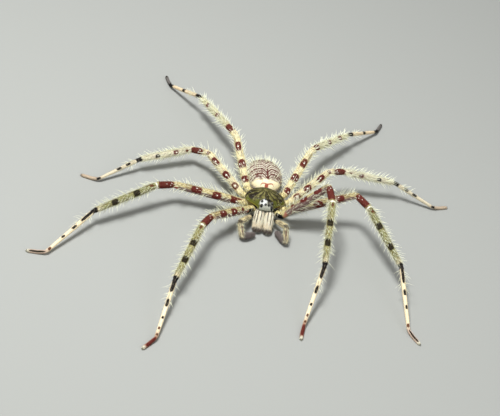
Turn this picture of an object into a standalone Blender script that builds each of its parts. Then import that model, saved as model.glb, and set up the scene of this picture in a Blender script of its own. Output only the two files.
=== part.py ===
"""A huntsman spider at life size, standing still on its eight feet, as a museum model.

All sizes are in metres. The spider faces -Y, +X is its own left side, +Z is up and the floor
is z = 0. Joints and sizes are given from the middle of the prosoma, and an empty carries the
whole animal so that the origin lies under the middle of the leg span.
"""

import math
import random
from dataclasses import dataclass

import bmesh
import bpy
from mathutils import Matrix, Vector
from mathutils.geometry import intersect_point_line

GAP = 0.0003
HALF_GAP = GAP / 2
WELD = 0.000001
SEED = 8
UP = Vector((0.0, 0.0, 1.0))
DOWN = -UP
SIDES = {"left": 1, "right": -1}

# Shield over the prosoma: a low dome on a thin rim, steep behind, with wide shoulders and a
# narrow head, swung a little about its face
CARAPACE_HALF_WIDTH = 0.0051
HEAD_HALF_WIDTH = 0.0022
HEAD_END_Y = -0.0039
SHOULDER_Y = -0.0011
CARAPACE_WIDEST_Y = -0.0005
CARAPACE_FRONT_Y = -0.00495
CARAPACE_REAR_Y = 0.0034
CARAPACE_RIM_Z = 0.0049
CARAPACE_RIM_DEPTH = 0.0003
CARAPACE_DOME = 0.0019
CARAPACE_SWING = 5.0
CARAPACE_SWING_CENTRE = Vector((0.0, -0.0045, 0.0))

# Plate under the prosoma, and the ring of hips round it
STERNUM_CENTRE = Vector((0.0, 0.0001, 0.0032))
STERNUM_HALF_WIDTH = 0.0019
STERNUM_HALF_LENGTH = 0.00235
STERNUM_DEPTH = 0.0022
HIP_RING_RADIUS = 0.0061
HIP_Z = 0.0036
HIP_BEARING = {1: -43.0, 2: -17.0, 3: 10.5, 4: 37.5}
COXA_ROOT_BEARING = {1: -52.0, 2: -18.0, 3: 18.0, 4: 52.0}
COXA_ROOT_REACH = 0.0004
COXA_ROOT_Z = 0.0032

# Abdomen: an oval swung a little to the spider's right, blunt in front
ABDOMEN_CENTRE = Vector((-0.00065, 0.0093, 0.00375))
ABDOMEN_HALF_WIDTH = 0.0048
ABDOMEN_HALF_LENGTH = 0.0057
ABDOMEN_HALF_HEIGHT = 0.0033
ABDOMEN_SWING = 8.0
PEDICEL_RADIUS = 0.0005
SPINNERET_LENGTH = 0.0009
SPINNERET_RADII = (0.00038, 0.0002)
SPINNERET_SPREAD = 0.00032
SPINNERET_DROP = 0.0005

# Jaws, as seen on the left: axis of the barrel from its root to its end, then the fang
JAW_ROOT = Vector((0.0012, -0.0043, 0.00375))
JAW_END = Vector((0.00128, -0.00775, 0.0003))
JAW_OVERRUN = 0.0007
JAW_RADII = (0.001, 0.00125, 0.0014, 0.00138, 0.00118, 0.001)
JAW_LOWEST_Z = 0.00085
FANG_POINTS = (
    Vector((0.00205, -0.0078, 0.0003)),
    Vector((0.00145, -0.00725, 0.00028)),
    Vector((0.00045, -0.00735, 0.00027)),
)
FANG_RADII = (0.00025, 0.00024, 0.00007)


@dataclass(frozen=True)
class Eye:
    """An eye's distance from the middle, its place along the shield, and its radius."""

    across: float
    forward: float
    radius: float


EYES = {
    "front_middle": Eye(0.00042, -0.00425, 0.0003),
    "front_side": Eye(0.0013, -0.00442, 0.00038),
    "rear_middle": Eye(0.00055, -0.00285, 0.0003),
    "rear_side": Eye(0.0013, -0.0034, 0.00034),
}

# Legs, by pair from front to rear
SEGMENT_LENGTHS = {
    1: {"femur": 0.0142, "patella": 0.0057, "tibia": 0.0174, "metatarsus": 0.0165, "tarsus": 0.0046},
    2: {"femur": 0.0179, "patella": 0.0054, "tibia": 0.0179, "metatarsus": 0.0171, "tarsus": 0.0046},
    3: {"femur": 0.0149, "patella": 0.0049, "tibia": 0.0146, "metatarsus": 0.0122, "tarsus": 0.0045},
    4: {"femur": 0.0159, "patella": 0.0053, "tibia": 0.0144, "metatarsus": 0.0129, "tarsus": 0.0046},
}
STOUTNESS = {1: 1.04, 2: 1.04, 3: 0.96, 4: 1.0}
COXA_RADII = (0.00056, 0.00072, 0.00092, 0.00088)
FEMUR_RADII = (0.0008, 0.00102, 0.00104, 0.00096, 0.0008)
PATELLA_RADII = (0.00078, 0.0009)
TIBIA_RADII = (0.00082, 0.00084, 0.0008, 0.0006)
METATARSUS_RADII = (0.00055, 0.00052, 0.00042)
TARSUS_RADII = (0.00042, 0.00046, 0.00046, 0.00025)
ANKLE_Z = 0.00085
SOLE_AXIS_Z = 0.00038
JOINT_OVERRUN = 0.001

# The pose: each segment's compass heading in degrees, 0 to the spider's left and 90 to its
# rear, and the climb of the first three. The floor sets the climb of the last two.
POSE = {
    ("left", 1): {"headings": (14, -81, -91, -103, -97), "climbs": (46, 0, -22)},
    ("left", 2): {"headings": (12, -55, -59, -80, -52), "climbs": (21, 4, -13)},
    ("left", 3): {"headings": (48, 27, 8, -9, 22), "climbs": (16, -9, -8)},
    ("left", 4): {"headings": (68, 64, 50, 44, 68), "climbs": (17, -17, -9)},
    ("right", 1): {"headings": (-134, -113, -106, -99, -127), "climbs": (16, 10, -12)},
    ("right", 2): {"headings": (-178, -148, -142, -124, -177), "climbs": (6, 11, -8)},
    ("right", 3): {"headings": (132, 156, 208, 219, 169), "climbs": (9, -18, -4)},
    ("right", 4): {"headings": (107, 116, 123, 130, 110), "climbs": (17, -10, -6)},
}

# Palps: each joint's place on its own side, from the hip out
PALP_JOINTS = {
    "left": {
        "hip": Vector((0.0012, -0.0033, 0.0016)),
        "root": Vector((0.003, -0.0043, 0.0017)),
        "elbow": Vector((0.0036, -0.0056, 0.0026)),
        "knee": Vector((0.0056, -0.0079, 0.0036)),
        "wrist": Vector((0.0061, -0.0112, 0.0013)),
        "tip": Vector((0.0037, -0.0076, 0.0008)),
    },
    "right": {
        "hip": Vector((-0.0012, -0.0033, 0.0016)),
        "root": Vector((-0.003, -0.0043, 0.0017)),
        "elbow": Vector((-0.0036, -0.0057, 0.0026)),
        "knee": Vector((-0.0061, -0.0096, 0.0037)),
        "wrist": Vector((-0.005, -0.0121, 0.0013)),
        "tip": Vector((-0.0019, -0.0101, 0.0009)),
    },
}
PALP_RADII = {"hip": 0.00045, "root": 0.00045, "elbow": 0.00055, "knee": 0.00065, "wrist": 0.0006}
PALP_PAD_RADIUS = 0.0007
PALP_TIP_RADIUS = 0.0003

# Bristles, as tapered spines sunk into the limb
BRISTLE_LENGTH = 0.0021
BRISTLE_SPREAD = 0.15
BRISTLE_SPACING = 0.0009
BRISTLE_STRAY = 0.2
BRISTLE_ROOT_RADIUS = 0.00032
BRISTLE_SINK = 0.4
BRISTLE_LEAN = 20.0
BRISTLE_LIFTS = (4.0, 40.0)
BRISTLE_JITTER = 7.0
BRISTLE_LOWEST_Z = 0.0003
ABDOMEN_BRISTLES = 64
ABDOMEN_BRISTLE_LENGTH = 0.0016
ABDOMEN_BRISTLE_DEPTH = 0.0007
ABDOMEN_BRISTLE_SWEEP = 0.35
PALP_BRISTLE_LENGTH = 0.0011
GOLDEN_TURN = math.pi * (3 - math.sqrt(5))


@dataclass(frozen=True)
class Finish:
    """The colour and roughness of one kind of surface."""

    colour: tuple
    roughness: float


OLIVE = Finish((0.16, 0.17, 0.05), 0.35)
PALE = Finish((0.6, 0.5, 0.36), 0.6)
GREY_CREAM = Finish((0.52, 0.46, 0.38), 0.7)
JAW_CREAM = Finish((0.78, 0.7, 0.52), 0.5)
CREAM = Finish((0.8, 0.72, 0.5), 0.6)
PEACH = Finish((0.78, 0.62, 0.5), 0.6)
DUSKY = Finish((0.12, 0.1, 0.09), 0.7)
HORN = Finish((0.06, 0.02, 0.015), 0.25)
BLACK = Finish((0.01, 0.01, 0.012), 0.1)


class Thicket:
    """Remembers the rods that fill the space round the body, so that no bristle hits one."""

    samples = 6

    def __init__(self):
        self.rods = []

    def add(self, node, start, end, radius):
        """Fills the space within a radius of a line."""
        self.rods.append((node, start, end, radius))

    def is_clear(self, node, start, end, radius):
        """Whether a rod keeps the gap to all that belongs to other nodes."""
        points = [start.lerp(end, step / self.samples) for step in range(self.samples + 1)]
        for owner, rod_start, rod_end, rod_radius in self.rods:
            if owner == node:
                continue
            reach = radius + rod_radius + GAP
            for point in points:
                share = intersect_point_line(point, rod_start, rod_end)[1]
                share = min(1.0, max(0.0, share))
                if (point - rod_start.lerp(rod_end, share)).length < reach:
                    return False
        return True


def mesh_from(bm, name):
    """Turns a bmesh into a mesh whose faces point out."""
    bmesh.ops.recalc_face_normals(bm, faces=bm.faces)
    if bm.calc_volume(signed=True) < 0:
        bmesh.ops.reverse_faces(bm, faces=bm.faces)
    mesh = bpy.data.meshes.new(name)
    bm.to_mesh(mesh)
    bm.free()
    return mesh


def tube_mesh(points, radii, bevel_resolution=2):
    """A closed round tube through the points, as thick at each as its radius says."""
    curve = bpy.data.curves.new("guide", "CURVE")
    curve.dimensions = "3D"
    curve.bevel_depth = 1.0
    curve.bevel_resolution = bevel_resolution
    curve.use_fill_caps = True
    spline = curve.splines.new("POLY")
    spline.points.add(len(points) - 1)
    for place, point, radius in zip(spline.points, points, radii):
        place.co = (*point, 1.0)
        place.radius = radius
    guide = bpy.data.objects.new("guide", curve)
    bpy.context.scene.collection.objects.link(guide)
    graph = bpy.context.evaluated_depsgraph_get()
    loose = bpy.data.meshes.new_from_object(guide.evaluated_get(graph))
    bpy.data.objects.remove(guide)
    bm = bmesh.new()
    bm.from_mesh(loose)
    bpy.data.meshes.remove(loose)
    bmesh.ops.remove_doubles(bm, verts=bm.verts, dist=WELD)
    return mesh_from(bm, "tube")


def cut_mesh(mesh, point, outward):
    """Cuts off what lies beyond a plane and closes the cut with a flat face."""
    bm = bmesh.new()
    bm.from_mesh(mesh)
    everything = bm.verts[:] + bm.edges[:] + bm.faces[:]
    bmesh.ops.bisect_plane(
        bm, geom=everything, dist=WELD, plane_co=point, plane_no=outward, clear_outer=True
    )
    rim = [edge for edge in bm.edges if edge.is_boundary]
    if rim:
        bmesh.ops.contextual_create(bm, geom=rim)
    bmesh.ops.recalc_face_normals(bm, faces=bm.faces)
    bm.to_mesh(mesh)
    bm.free()


def frame_along(start, end):
    """Place and turn of a piece whose own +Y runs from start to end, with +Z uppermost."""
    along = (end - start).normalized()
    across = along.cross(UP).normalized()
    turn = Matrix((across, along, across.cross(along))).transposed()
    return Matrix.Translation(start) @ turn.to_4x4()


def finish_with(obj, finish):
    """Gives a piece a material of its own."""
    material = bpy.data.materials.new(obj.name)
    material.use_nodes = True
    material.diffuse_color = (*finish.colour, 1.0)
    shader = material.node_tree.nodes["Principled BSDF"]
    shader.inputs["Base Color"].default_value = (*finish.colour, 1.0)
    shader.inputs["Roughness"].default_value = finish.roughness
    obj.data.materials.clear()
    obj.data.materials.append(material)


def spine_mesh(root, tip, root_radius):
    """One straight tapered spine, square in section, with a sharp tip."""
    way = tip - root
    bm = bmesh.new()
    bmesh.ops.create_cone(
        bm, cap_ends=True, segments=4, radius1=root_radius, radius2=0.0, depth=way.length
    )
    bmesh.ops.remove_doubles(bm, verts=bm.verts, dist=WELD)
    turn = way.to_track_quat("Z", "Y").to_matrix().to_4x4()
    bmesh.ops.transform(bm, matrix=Matrix.Translation((root + tip) / 2) @ turn, verts=bm.verts)
    return mesh_from(bm, "spine")


def keep_largest(mesh):
    """Drops every closed surface but the one with the most faces."""
    bm = bmesh.new()
    bm.from_mesh(mesh)
    waiting = set(bm.faces)
    largest = set()
    while waiting:
        shell = set()
        front = [waiting.pop()]
        while front:
            face = front.pop()
            shell.add(face)
            touching = {other for edge in face.edges for other in edge.link_faces}
            front += touching & waiting
            waiting -= touching
        largest = max(largest, shell, key=len)
    loose = [face for face in bm.faces if face not in largest]
    bmesh.ops.delete(bm, geom=loose, context="FACES")
    bm.to_mesh(mesh)
    bm.free()


class Spider:
    """The animal's collection, the empty that carries it, and what fills the space round it."""

    def __init__(self):
        self.collection = bpy.data.collections.new("huntsman_spider")
        bpy.context.scene.collection.children.link(self.collection)
        self.carrier = bpy.data.objects.new("spider_frame", None)
        self.collection.objects.link(self.carrier)
        self.thicket = Thicket()
        self.random = random.Random(SEED)
        self.nodes = []

    def add(self, name, mesh, finish, place=Matrix.Identity(4)):
        """Adds a node whose mesh moves into its own frame, and which is placed by that frame."""
        mesh.name = name
        mesh.transform(place.inverted())
        mesh.shade_smooth()
        mesh.set_sharp_from_angle(angle=math.radians(50))
        obj = bpy.data.objects.new(name, mesh)
        self.collection.objects.link(obj)
        obj.parent = self.carrier
        obj.location = place.to_translation()
        obj.rotation_euler = place.to_euler()
        finish_with(obj, finish)
        self.nodes.append(obj)
        return obj

    def bristle(self, node, foot, way, length, thickness):
        """A bristle's mesh, or nothing where it would hit something.

        It grows from a point inside the limb, through that much thickness of it and on by its
        own length.
        """
        vary = self.random.uniform(1 - BRISTLE_SPREAD, 1 + BRISTLE_SPREAD)
        tip = foot + way * (thickness + length * vary)
        root = foot + way * thickness * BRISTLE_SINK
        if min(root.z, tip.z) < BRISTLE_LOWEST_Z:
            return []
        if not self.thicket.is_clear(node, root, tip, BRISTLE_ROOT_RADIUS):
            return []
        self.thicket.add(node, root, tip, BRISTLE_ROOT_RADIUS)
        return [spine_mesh(root, tip, BRISTLE_ROOT_RADIUS)]

    def bristle_rows(self, node, start, end, thickness, length=BRISTLE_LENGTH):
        """Bristles along both flanks of a straight length, leaning towards its end."""
        turn = frame_along(start, end).to_3x3()
        run = (end - start).length
        count = int(run / BRISTLE_SPACING)
        meshes = []
        for side in SIDES.values():
            for number in range(count):
                stray = self.random.uniform(-BRISTLE_STRAY, BRISTLE_STRAY)
                foot = start.lerp(end, (number + 0.5 + stray) / count)
                lift = BRISTLE_LIFTS[number % 2]
                lift = math.radians(lift + self.random.uniform(-BRISTLE_JITTER, BRISTLE_JITTER))
                lean = BRISTLE_LEAN + self.random.uniform(-BRISTLE_JITTER, BRISTLE_JITTER)
                lean = math.radians(lean)
                way = turn @ Vector((
                    side * math.cos(lift) * math.cos(lean),
                    math.sin(lean),
                    math.sin(lift) * math.cos(lean),
                ))
                meshes += self.bristle(node, foot, way, length, thickness)
        return meshes

    def fuse(self, obj, meshes):
        """Joins meshes given in the spider's frame to a node, as one closed surface."""
        if not meshes:
            return
        group = bpy.data.collections.new("pieces")
        bpy.context.scene.collection.children.link(group)
        own_frame = Matrix.LocRotScale(obj.location, obj.rotation_euler, None).inverted()
        for mesh in meshes:
            mesh.transform(own_frame)
            piece = bpy.data.objects.new("piece", mesh)
            group.objects.link(piece)
        target = bpy.data.objects.new("target", obj.data)
        bpy.context.scene.collection.objects.link(target)
        join = target.modifiers.new("join", "BOOLEAN")
        join.operation = "UNION"
        join.solver = "MANIFOLD"
        join.operand_type = "COLLECTION"
        join.collection = group
        graph = bpy.context.evaluated_depsgraph_get()
        joined = bpy.data.meshes.new_from_object(target.evaluated_get(graph))
        bpy.data.objects.remove(target)
        for piece in list(group.objects):
            bpy.data.objects.remove(piece)
        bpy.data.collections.remove(group)
        joined.name = obj.name
        keep_largest(joined)
        obj.data = joined

    def centre_on_floor(self):
        """Moves the carrier so that the origin is under the middle of the leg span."""
        bpy.context.view_layer.update()
        corners = [obj.matrix_world @ vertex.co for obj in self.nodes for vertex in obj.data.vertices]
        for axis in (0, 1):
            values = [corner[axis] for corner in corners]
            self.carrier.location[axis] = -(min(values) + max(values)) / 2


def carapace_share(y):
    """How far y is from the shield's widest place towards its front or rear end."""
    if y < CARAPACE_WIDEST_Y:
        return (CARAPACE_WIDEST_Y - y) / (CARAPACE_WIDEST_Y - CARAPACE_FRONT_Y)
    return (y - CARAPACE_WIDEST_Y) / (CARAPACE_REAR_Y - CARAPACE_WIDEST_Y)


def carapace_half_width(y):
    """Half the shield's width at y: drawn in from the shoulders to the head, round behind."""
    share = carapace_share(y)
    if y < CARAPACE_WIDEST_Y:
        out = min(1.0, max(0.0, (y - HEAD_END_Y) / (SHOULDER_Y - HEAD_END_Y)))
        flare = (CARAPACE_HALF_WIDTH - HEAD_HALF_WIDTH) * (3 - 2 * out) * out**2
        return (HEAD_HALF_WIDTH + flare) * max(0.0, 1 - share**18) ** 0.5
    return CARAPACE_HALF_WIDTH * max(0.0, 1 - share**1.75) ** 0.5


def carapace_ridge(y):
    """Height of the shield's middle line above its rim at y: long and level, then steep."""
    power = 5 if y < CARAPACE_WIDEST_Y else 2.4
    return CARAPACE_DOME * max(0.0, 1 - carapace_share(y) ** power) ** 0.5


def carapace_frame():
    """Place and turn of the shield."""
    swing = Matrix.Rotation(math.radians(CARAPACE_SWING), 4, "Z")
    centre = Matrix.Translation(CARAPACE_SWING_CENTRE)
    return centre @ swing @ centre.inverted()


def carapace_point(x, y):
    """The point of the shield's upper face over (x, y), in the shield's own frame."""
    across = min(1.0, abs(x) / carapace_half_width(y))
    return Vector((x, y, CARAPACE_RIM_Z + carapace_ridge(y) * (1 - across**2) ** 0.6))


def sphere_along_y(columns, rings):
    """A ball of radius 1 with its poles at front and rear."""
    bm = bmesh.new()
    bmesh.ops.create_uvsphere(bm, u_segments=columns, v_segments=rings, radius=1.0)
    bmesh.ops.rotate(bm, verts=bm.verts, matrix=Matrix.Rotation(math.radians(90), 3, "X"))
    return bm


def make_carapace(spider):
    """The shield over the prosoma, nearly flat below."""
    middle = (CARAPACE_FRONT_Y + CARAPACE_REAR_Y) / 2
    half_length = (CARAPACE_REAR_Y - CARAPACE_FRONT_Y) / 2
    bm = sphere_along_y(28, 18)
    for vertex in bm.verts:
        unit = vertex.co.copy()
        ring = math.hypot(unit.x, unit.z)
        y = middle + half_length * unit.y
        if ring < WELD:
            vertex.co = Vector((0.0, y, CARAPACE_RIM_Z))
            continue
        x = unit.x / ring * carapace_half_width(y)
        if unit.z >= 0:
            vertex.co = carapace_point(x, y)
        else:
            vertex.co = Vector((x, y, CARAPACE_RIM_Z - CARAPACE_RIM_DEPTH * min(1, -2.5 * unit.z / ring)))
    mesh = mesh_from(bm, "carapace")
    mesh.transform(carapace_frame())
    spider.add("carapace", mesh, OLIVE)
    front, rear = (Vector((0, y, CARAPACE_RIM_Z)) for y in (CARAPACE_FRONT_Y / 4, 0.0))
    spider.thicket.add("carapace", front, rear, CARAPACE_HALF_WIDTH)


def make_sternum(spider):
    """The plate between the hips, under the shield."""
    bm = bmesh.new()
    bmesh.ops.create_cone(
        bm, cap_ends=True, segments=20, radius1=0.9, radius2=1.0, depth=STERNUM_DEPTH
    )
    bmesh.ops.scale(bm, verts=bm.verts, vec=(STERNUM_HALF_WIDTH, STERNUM_HALF_LENGTH, 1.0))
    mesh = mesh_from(bm, "sternum")
    place = Matrix.Translation(STERNUM_CENTRE)
    mesh.transform(place)
    spider.add("sternum", mesh, PALE, place)


def abdomen_frame():
    """Place and turn of the abdomen: its own +Y runs to the tail."""
    swing = Matrix.Rotation(math.radians(ABDOMEN_SWING), 4, "Z")
    return Matrix.Translation(ABDOMEN_CENTRE) @ swing


def abdomen_point(unit):
    """The abdomen's surface in its own frame, for a direction from its middle."""
    ring = max(WELD, math.hypot(unit.x, unit.z))
    fullness = 1 - 0.12 * unit.y**2 + 0.06 * unit.y
    reach = fullness * max(0.0, 1 - abs(unit.y) ** 2.5) ** 0.45 / ring
    belly = 0.94 if unit.z < 0 else 1.0
    return Vector((
        unit.x * reach * ABDOMEN_HALF_WIDTH,
        unit.y * ABDOMEN_HALF_LENGTH,
        unit.z * reach * belly * ABDOMEN_HALF_HEIGHT,
    ))


def abdomen_bristles(spider, frame):
    """Bristles spread evenly over the top and flanks, swept to the rear."""
    meshes = []
    for number in range(ABDOMEN_BRISTLES):
        rise = 1 - 1.15 * (number + 0.5) / ABDOMEN_BRISTLES
        turn = number * GOLDEN_TURN
        flat = math.sqrt(1 - rise**2)
        unit = Vector((flat * math.cos(turn), flat * math.sin(turn), rise))
        surface = abdomen_point(unit)
        outward = Vector((
            surface.x / ABDOMEN_HALF_WIDTH**2,
            surface.y / ABDOMEN_HALF_LENGTH**2,
            surface.z / ABDOMEN_HALF_HEIGHT**2,
        )).normalized()
        if outward.y < -0.75:
            continue
        swept = outward + Vector((0.0, ABDOMEN_BRISTLE_SWEEP, 0.0))
        way = frame.to_3x3() @ swept.normalized()
        foot = frame @ surface - way * ABDOMEN_BRISTLE_DEPTH
        meshes += spider.bristle(
            "abdomen", foot, way, ABDOMEN_BRISTLE_LENGTH, ABDOMEN_BRISTLE_DEPTH
        )
    return meshes


def make_abdomen(spider):
    """The abdomen: an oval, fuller behind its middle and blunt in front, with bristles."""
    frame = abdomen_frame()
    bm = sphere_along_y(24, 16)
    for vertex in bm.verts:
        vertex.co = abdomen_point(vertex.co.copy())
    mesh = mesh_from(bm, "abdomen")
    mesh.transform(frame)
    obj = spider.add("abdomen", mesh, GREY_CREAM, frame)
    inner = ABDOMEN_HALF_LENGTH - ABDOMEN_HALF_WIDTH
    front, rear = (frame @ Vector((0, sign * inner, 0)) for sign in (-1, 1))
    spider.thicket.add("abdomen", front, rear, ABDOMEN_HALF_WIDTH)
    return obj, frame


def make_pedicel(spider):
    """The waist between prosoma and abdomen."""
    front = STERNUM_CENTRE.y + STERNUM_HALF_LENGTH + GAP
    rear = ABDOMEN_CENTRE.y - ABDOMEN_HALF_LENGTH - GAP
    points = [Vector((0, front, ABDOMEN_CENTRE.z)), Vector((0, rear, ABDOMEN_CENTRE.z))]
    mesh = tube_mesh(points, [PEDICEL_RADIUS] * 2)
    spider.add("pedicel", mesh, PALE, Matrix.Translation(points[0]))


def make_spinnerets(spider):
    """The cluster of four short spinning tubes at the tail."""
    place = Vector((0, ABDOMEN_HALF_LENGTH + GAP, -SPINNERET_DROP))
    frame = abdomen_frame() @ Matrix.Translation(place)
    pieces = []
    for across in (-SPINNERET_SPREAD, SPINNERET_SPREAD):
        for drop, length in ((0.0, 1.0), (SPINNERET_DROP, 0.7)):
            root = frame @ Vector((across, 0, -drop))
            tip = frame @ Vector((across * 1.4, SPINNERET_LENGTH * length, -drop))
            pieces.append(tube_mesh([root, tip], SPINNERET_RADII))
    obj = spider.add("spinnerets", pieces[0], GREY_CREAM, frame)
    spider.fuse(obj, pieces[1:])


def mirrored(point, sign):
    """A point given for the left side, on the side asked for."""
    return Vector((sign * point.x, point.y, point.z))


def make_jaw(spider, side):
    """One chelicera: a stout barrel that slants forward and down beside its twin."""
    sign = SIDES[side]
    root, end = mirrored(JAW_ROOT, sign), mirrored(JAW_END, sign)
    overrun = (end - root).normalized() * JAW_OVERRUN
    points = [root - overrun, root, root.lerp(end, 0.3), root.lerp(end, 0.6), end, end + overrun]
    mesh = tube_mesh(points, JAW_RADII, bevel_resolution=4)
    under_shield = CARAPACE_RIM_Z - CARAPACE_RIM_DEPTH - GAP
    cut_mesh(mesh, Vector((0, 0, under_shield)), UP)
    cut_mesh(mesh, Vector((sign * HALF_GAP, 0, 0)), Vector((-sign, 0, 0)))
    cut_mesh(mesh, Vector((0, 0, JAW_LOWEST_Z)), DOWN)
    spider.add(f"chelicera_{side}", mesh, JAW_CREAM, frame_along(root, end))
    spider.thicket.add(f"chelicera_{side}", root, end, max(JAW_RADII))


def make_fang(spider, side):
    """One fang, folded in under the end of its chelicera."""
    points = [mirrored(point, SIDES[side]) for point in FANG_POINTS]
    mesh = tube_mesh(points, FANG_RADII)
    spider.add(f"fang_{side}", mesh, HORN, Matrix.Translation(points[0]))


def make_eye(spider, name, side):
    """One eye: a small dome standing on the shield."""
    eye = EYES[name]
    shield = carapace_frame()
    seat = shield.inverted() @ Vector((SIDES[side] * eye.across, eye.forward, 0.0))
    step = 0.00002
    place = carapace_point(seat.x, seat.y)
    along_x = carapace_point(seat.x + step, seat.y) - place
    along_y = carapace_point(seat.x, seat.y + step) - place
    outward = shield.to_3x3() @ along_x.cross(along_y).normalized()
    foot = shield @ place + outward * GAP
    bm = bmesh.new()
    bmesh.ops.create_uvsphere(bm, u_segments=8, v_segments=6, radius=eye.radius)
    mesh = mesh_from(bm, "eye")
    frame = Matrix.Translation(foot) @ outward.to_track_quat("Z", "Y").to_matrix().to_4x4()
    mesh.transform(frame)
    cut_mesh(mesh, foot, -outward)
    spider.add(f"eye_{name}_{side}", mesh, BLACK, frame)


def mitre(before, after):
    """Normal of the plane that halves the bend between two directions."""
    return (before.normalized() + after.normalized()).normalized()


def make_palp(spider, side):
    """One palp: the femur from its hip, the tibia, and the padded tarsus curled inwards."""
    joint = PALP_JOINTS[side]
    radius = PALP_RADII
    upper, shank, pad = (
        (joint[end] - joint[start]).normalized()
        for start, end in (("elbow", "knee"), ("knee", "wrist"), ("wrist", "tip"))
    )
    knee_plane, wrist_plane = mitre(upper, shank), mitre(shank, pad)
    name = f"palp_{side}"
    spider.thicket.add(f"{name}_femur", joint["elbow"], joint["knee"], radius["knee"])
    spider.thicket.add(f"{name}_tibia", joint["knee"], joint["wrist"], radius["knee"])
    spider.thicket.add(f"{name}_tarsus", joint["wrist"], joint["tip"], PALP_PAD_RADIUS)

    points = [joint["hip"], joint["root"], joint["elbow"], joint["knee"] + upper * JOINT_OVERRUN]
    mesh = tube_mesh(points, [radius[key] for key in ("hip", "root", "elbow", "knee")])
    cut_mesh(mesh, joint["knee"] - knee_plane * HALF_GAP, knee_plane)
    frame = frame_along(joint["elbow"], joint["knee"])
    obj = spider.add(f"{name}_femur", mesh, CREAM, frame)
    start = joint["elbow"].lerp(joint["knee"], 0.4)
    spider.fuse(obj, spider.bristle_rows(
        obj.name, start, joint["knee"], radius["knee"], PALP_BRISTLE_LENGTH))

    points = [joint["knee"] - shank * JOINT_OVERRUN, joint["knee"].lerp(joint["wrist"], 0.5)]
    points.append(joint["wrist"] + shank * JOINT_OVERRUN)
    mesh = tube_mesh(points, (radius["knee"], radius["knee"], radius["wrist"]))
    cut_mesh(mesh, joint["knee"] + knee_plane * HALF_GAP, -knee_plane)
    cut_mesh(mesh, joint["wrist"] - wrist_plane * HALF_GAP, wrist_plane)
    frame = frame_along(joint["knee"], joint["wrist"])
    obj = spider.add(f"{name}_tibia", mesh, CREAM, frame)
    end = joint["knee"].lerp(joint["wrist"], 0.8)
    spider.fuse(obj, spider.bristle_rows(
        obj.name, joint["knee"], end, radius["knee"], PALP_BRISTLE_LENGTH))

    points = [joint["wrist"] - pad * JOINT_OVERRUN, joint["wrist"].lerp(joint["tip"], 0.35)]
    points += [joint["wrist"].lerp(joint["tip"], 0.8), joint["tip"]]
    mesh = tube_mesh(points, (radius["wrist"], PALP_PAD_RADIUS, radius["elbow"], PALP_TIP_RADIUS))
    cut_mesh(mesh, joint["wrist"] + wrist_plane * HALF_GAP, -wrist_plane)
    spider.add(f"{name}_tarsus", mesh, DUSKY, frame_along(joint["wrist"], joint["tip"]))


def step_along(heading, climb, length):
    """A step of a given length on a compass heading, with a climb in degrees."""
    turn, rise = math.radians(heading), math.radians(climb)
    flat = length * math.cos(rise)
    return Vector((flat * math.cos(turn), flat * math.sin(turn), length * math.sin(rise)))


def step_down(heading, length, drop):
    """A step of a given length on a compass heading that loses a given height."""
    return step_along(heading, -math.degrees(math.asin(drop / length)), length)


def leg_joints(side, pair):
    """A leg's joints from its root to its claw, worked out from its lengths and pose."""
    sign = SIDES[side]
    root_turn = math.radians(COXA_ROOT_BEARING[pair])
    root = Vector((
        sign * (STERNUM_HALF_WIDTH + COXA_ROOT_REACH) * math.cos(root_turn),
        STERNUM_CENTRE.y + (STERNUM_HALF_LENGTH + COXA_ROOT_REACH) * math.sin(root_turn),
        COXA_ROOT_Z,
    ))
    hip_turn = math.radians(HIP_BEARING[pair])
    hip = Vector((
        sign * HIP_RING_RADIUS * math.cos(hip_turn), HIP_RING_RADIUS * math.sin(hip_turn), HIP_Z
    ))
    lengths, pose = SEGMENT_LENGTHS[pair], POSE[side, pair]
    knee = hip + step_along(pose["headings"][0], pose["climbs"][0], lengths["femur"])
    shin = knee + step_along(pose["headings"][1], pose["climbs"][1], lengths["patella"])
    heel = shin + step_along(pose["headings"][2], pose["climbs"][2], lengths["tibia"])
    ankle = heel + step_down(pose["headings"][3], lengths["metatarsus"], heel.z - ANKLE_Z)
    claw = ankle + step_down(pose["headings"][4], lengths["tarsus"], ANKLE_Z - SOLE_AXIS_Z)
    return {"root": root, "hip": hip, "knee": knee, "shin": shin, "heel": heel, "ankle": ankle,
            "claw": claw}


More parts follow.
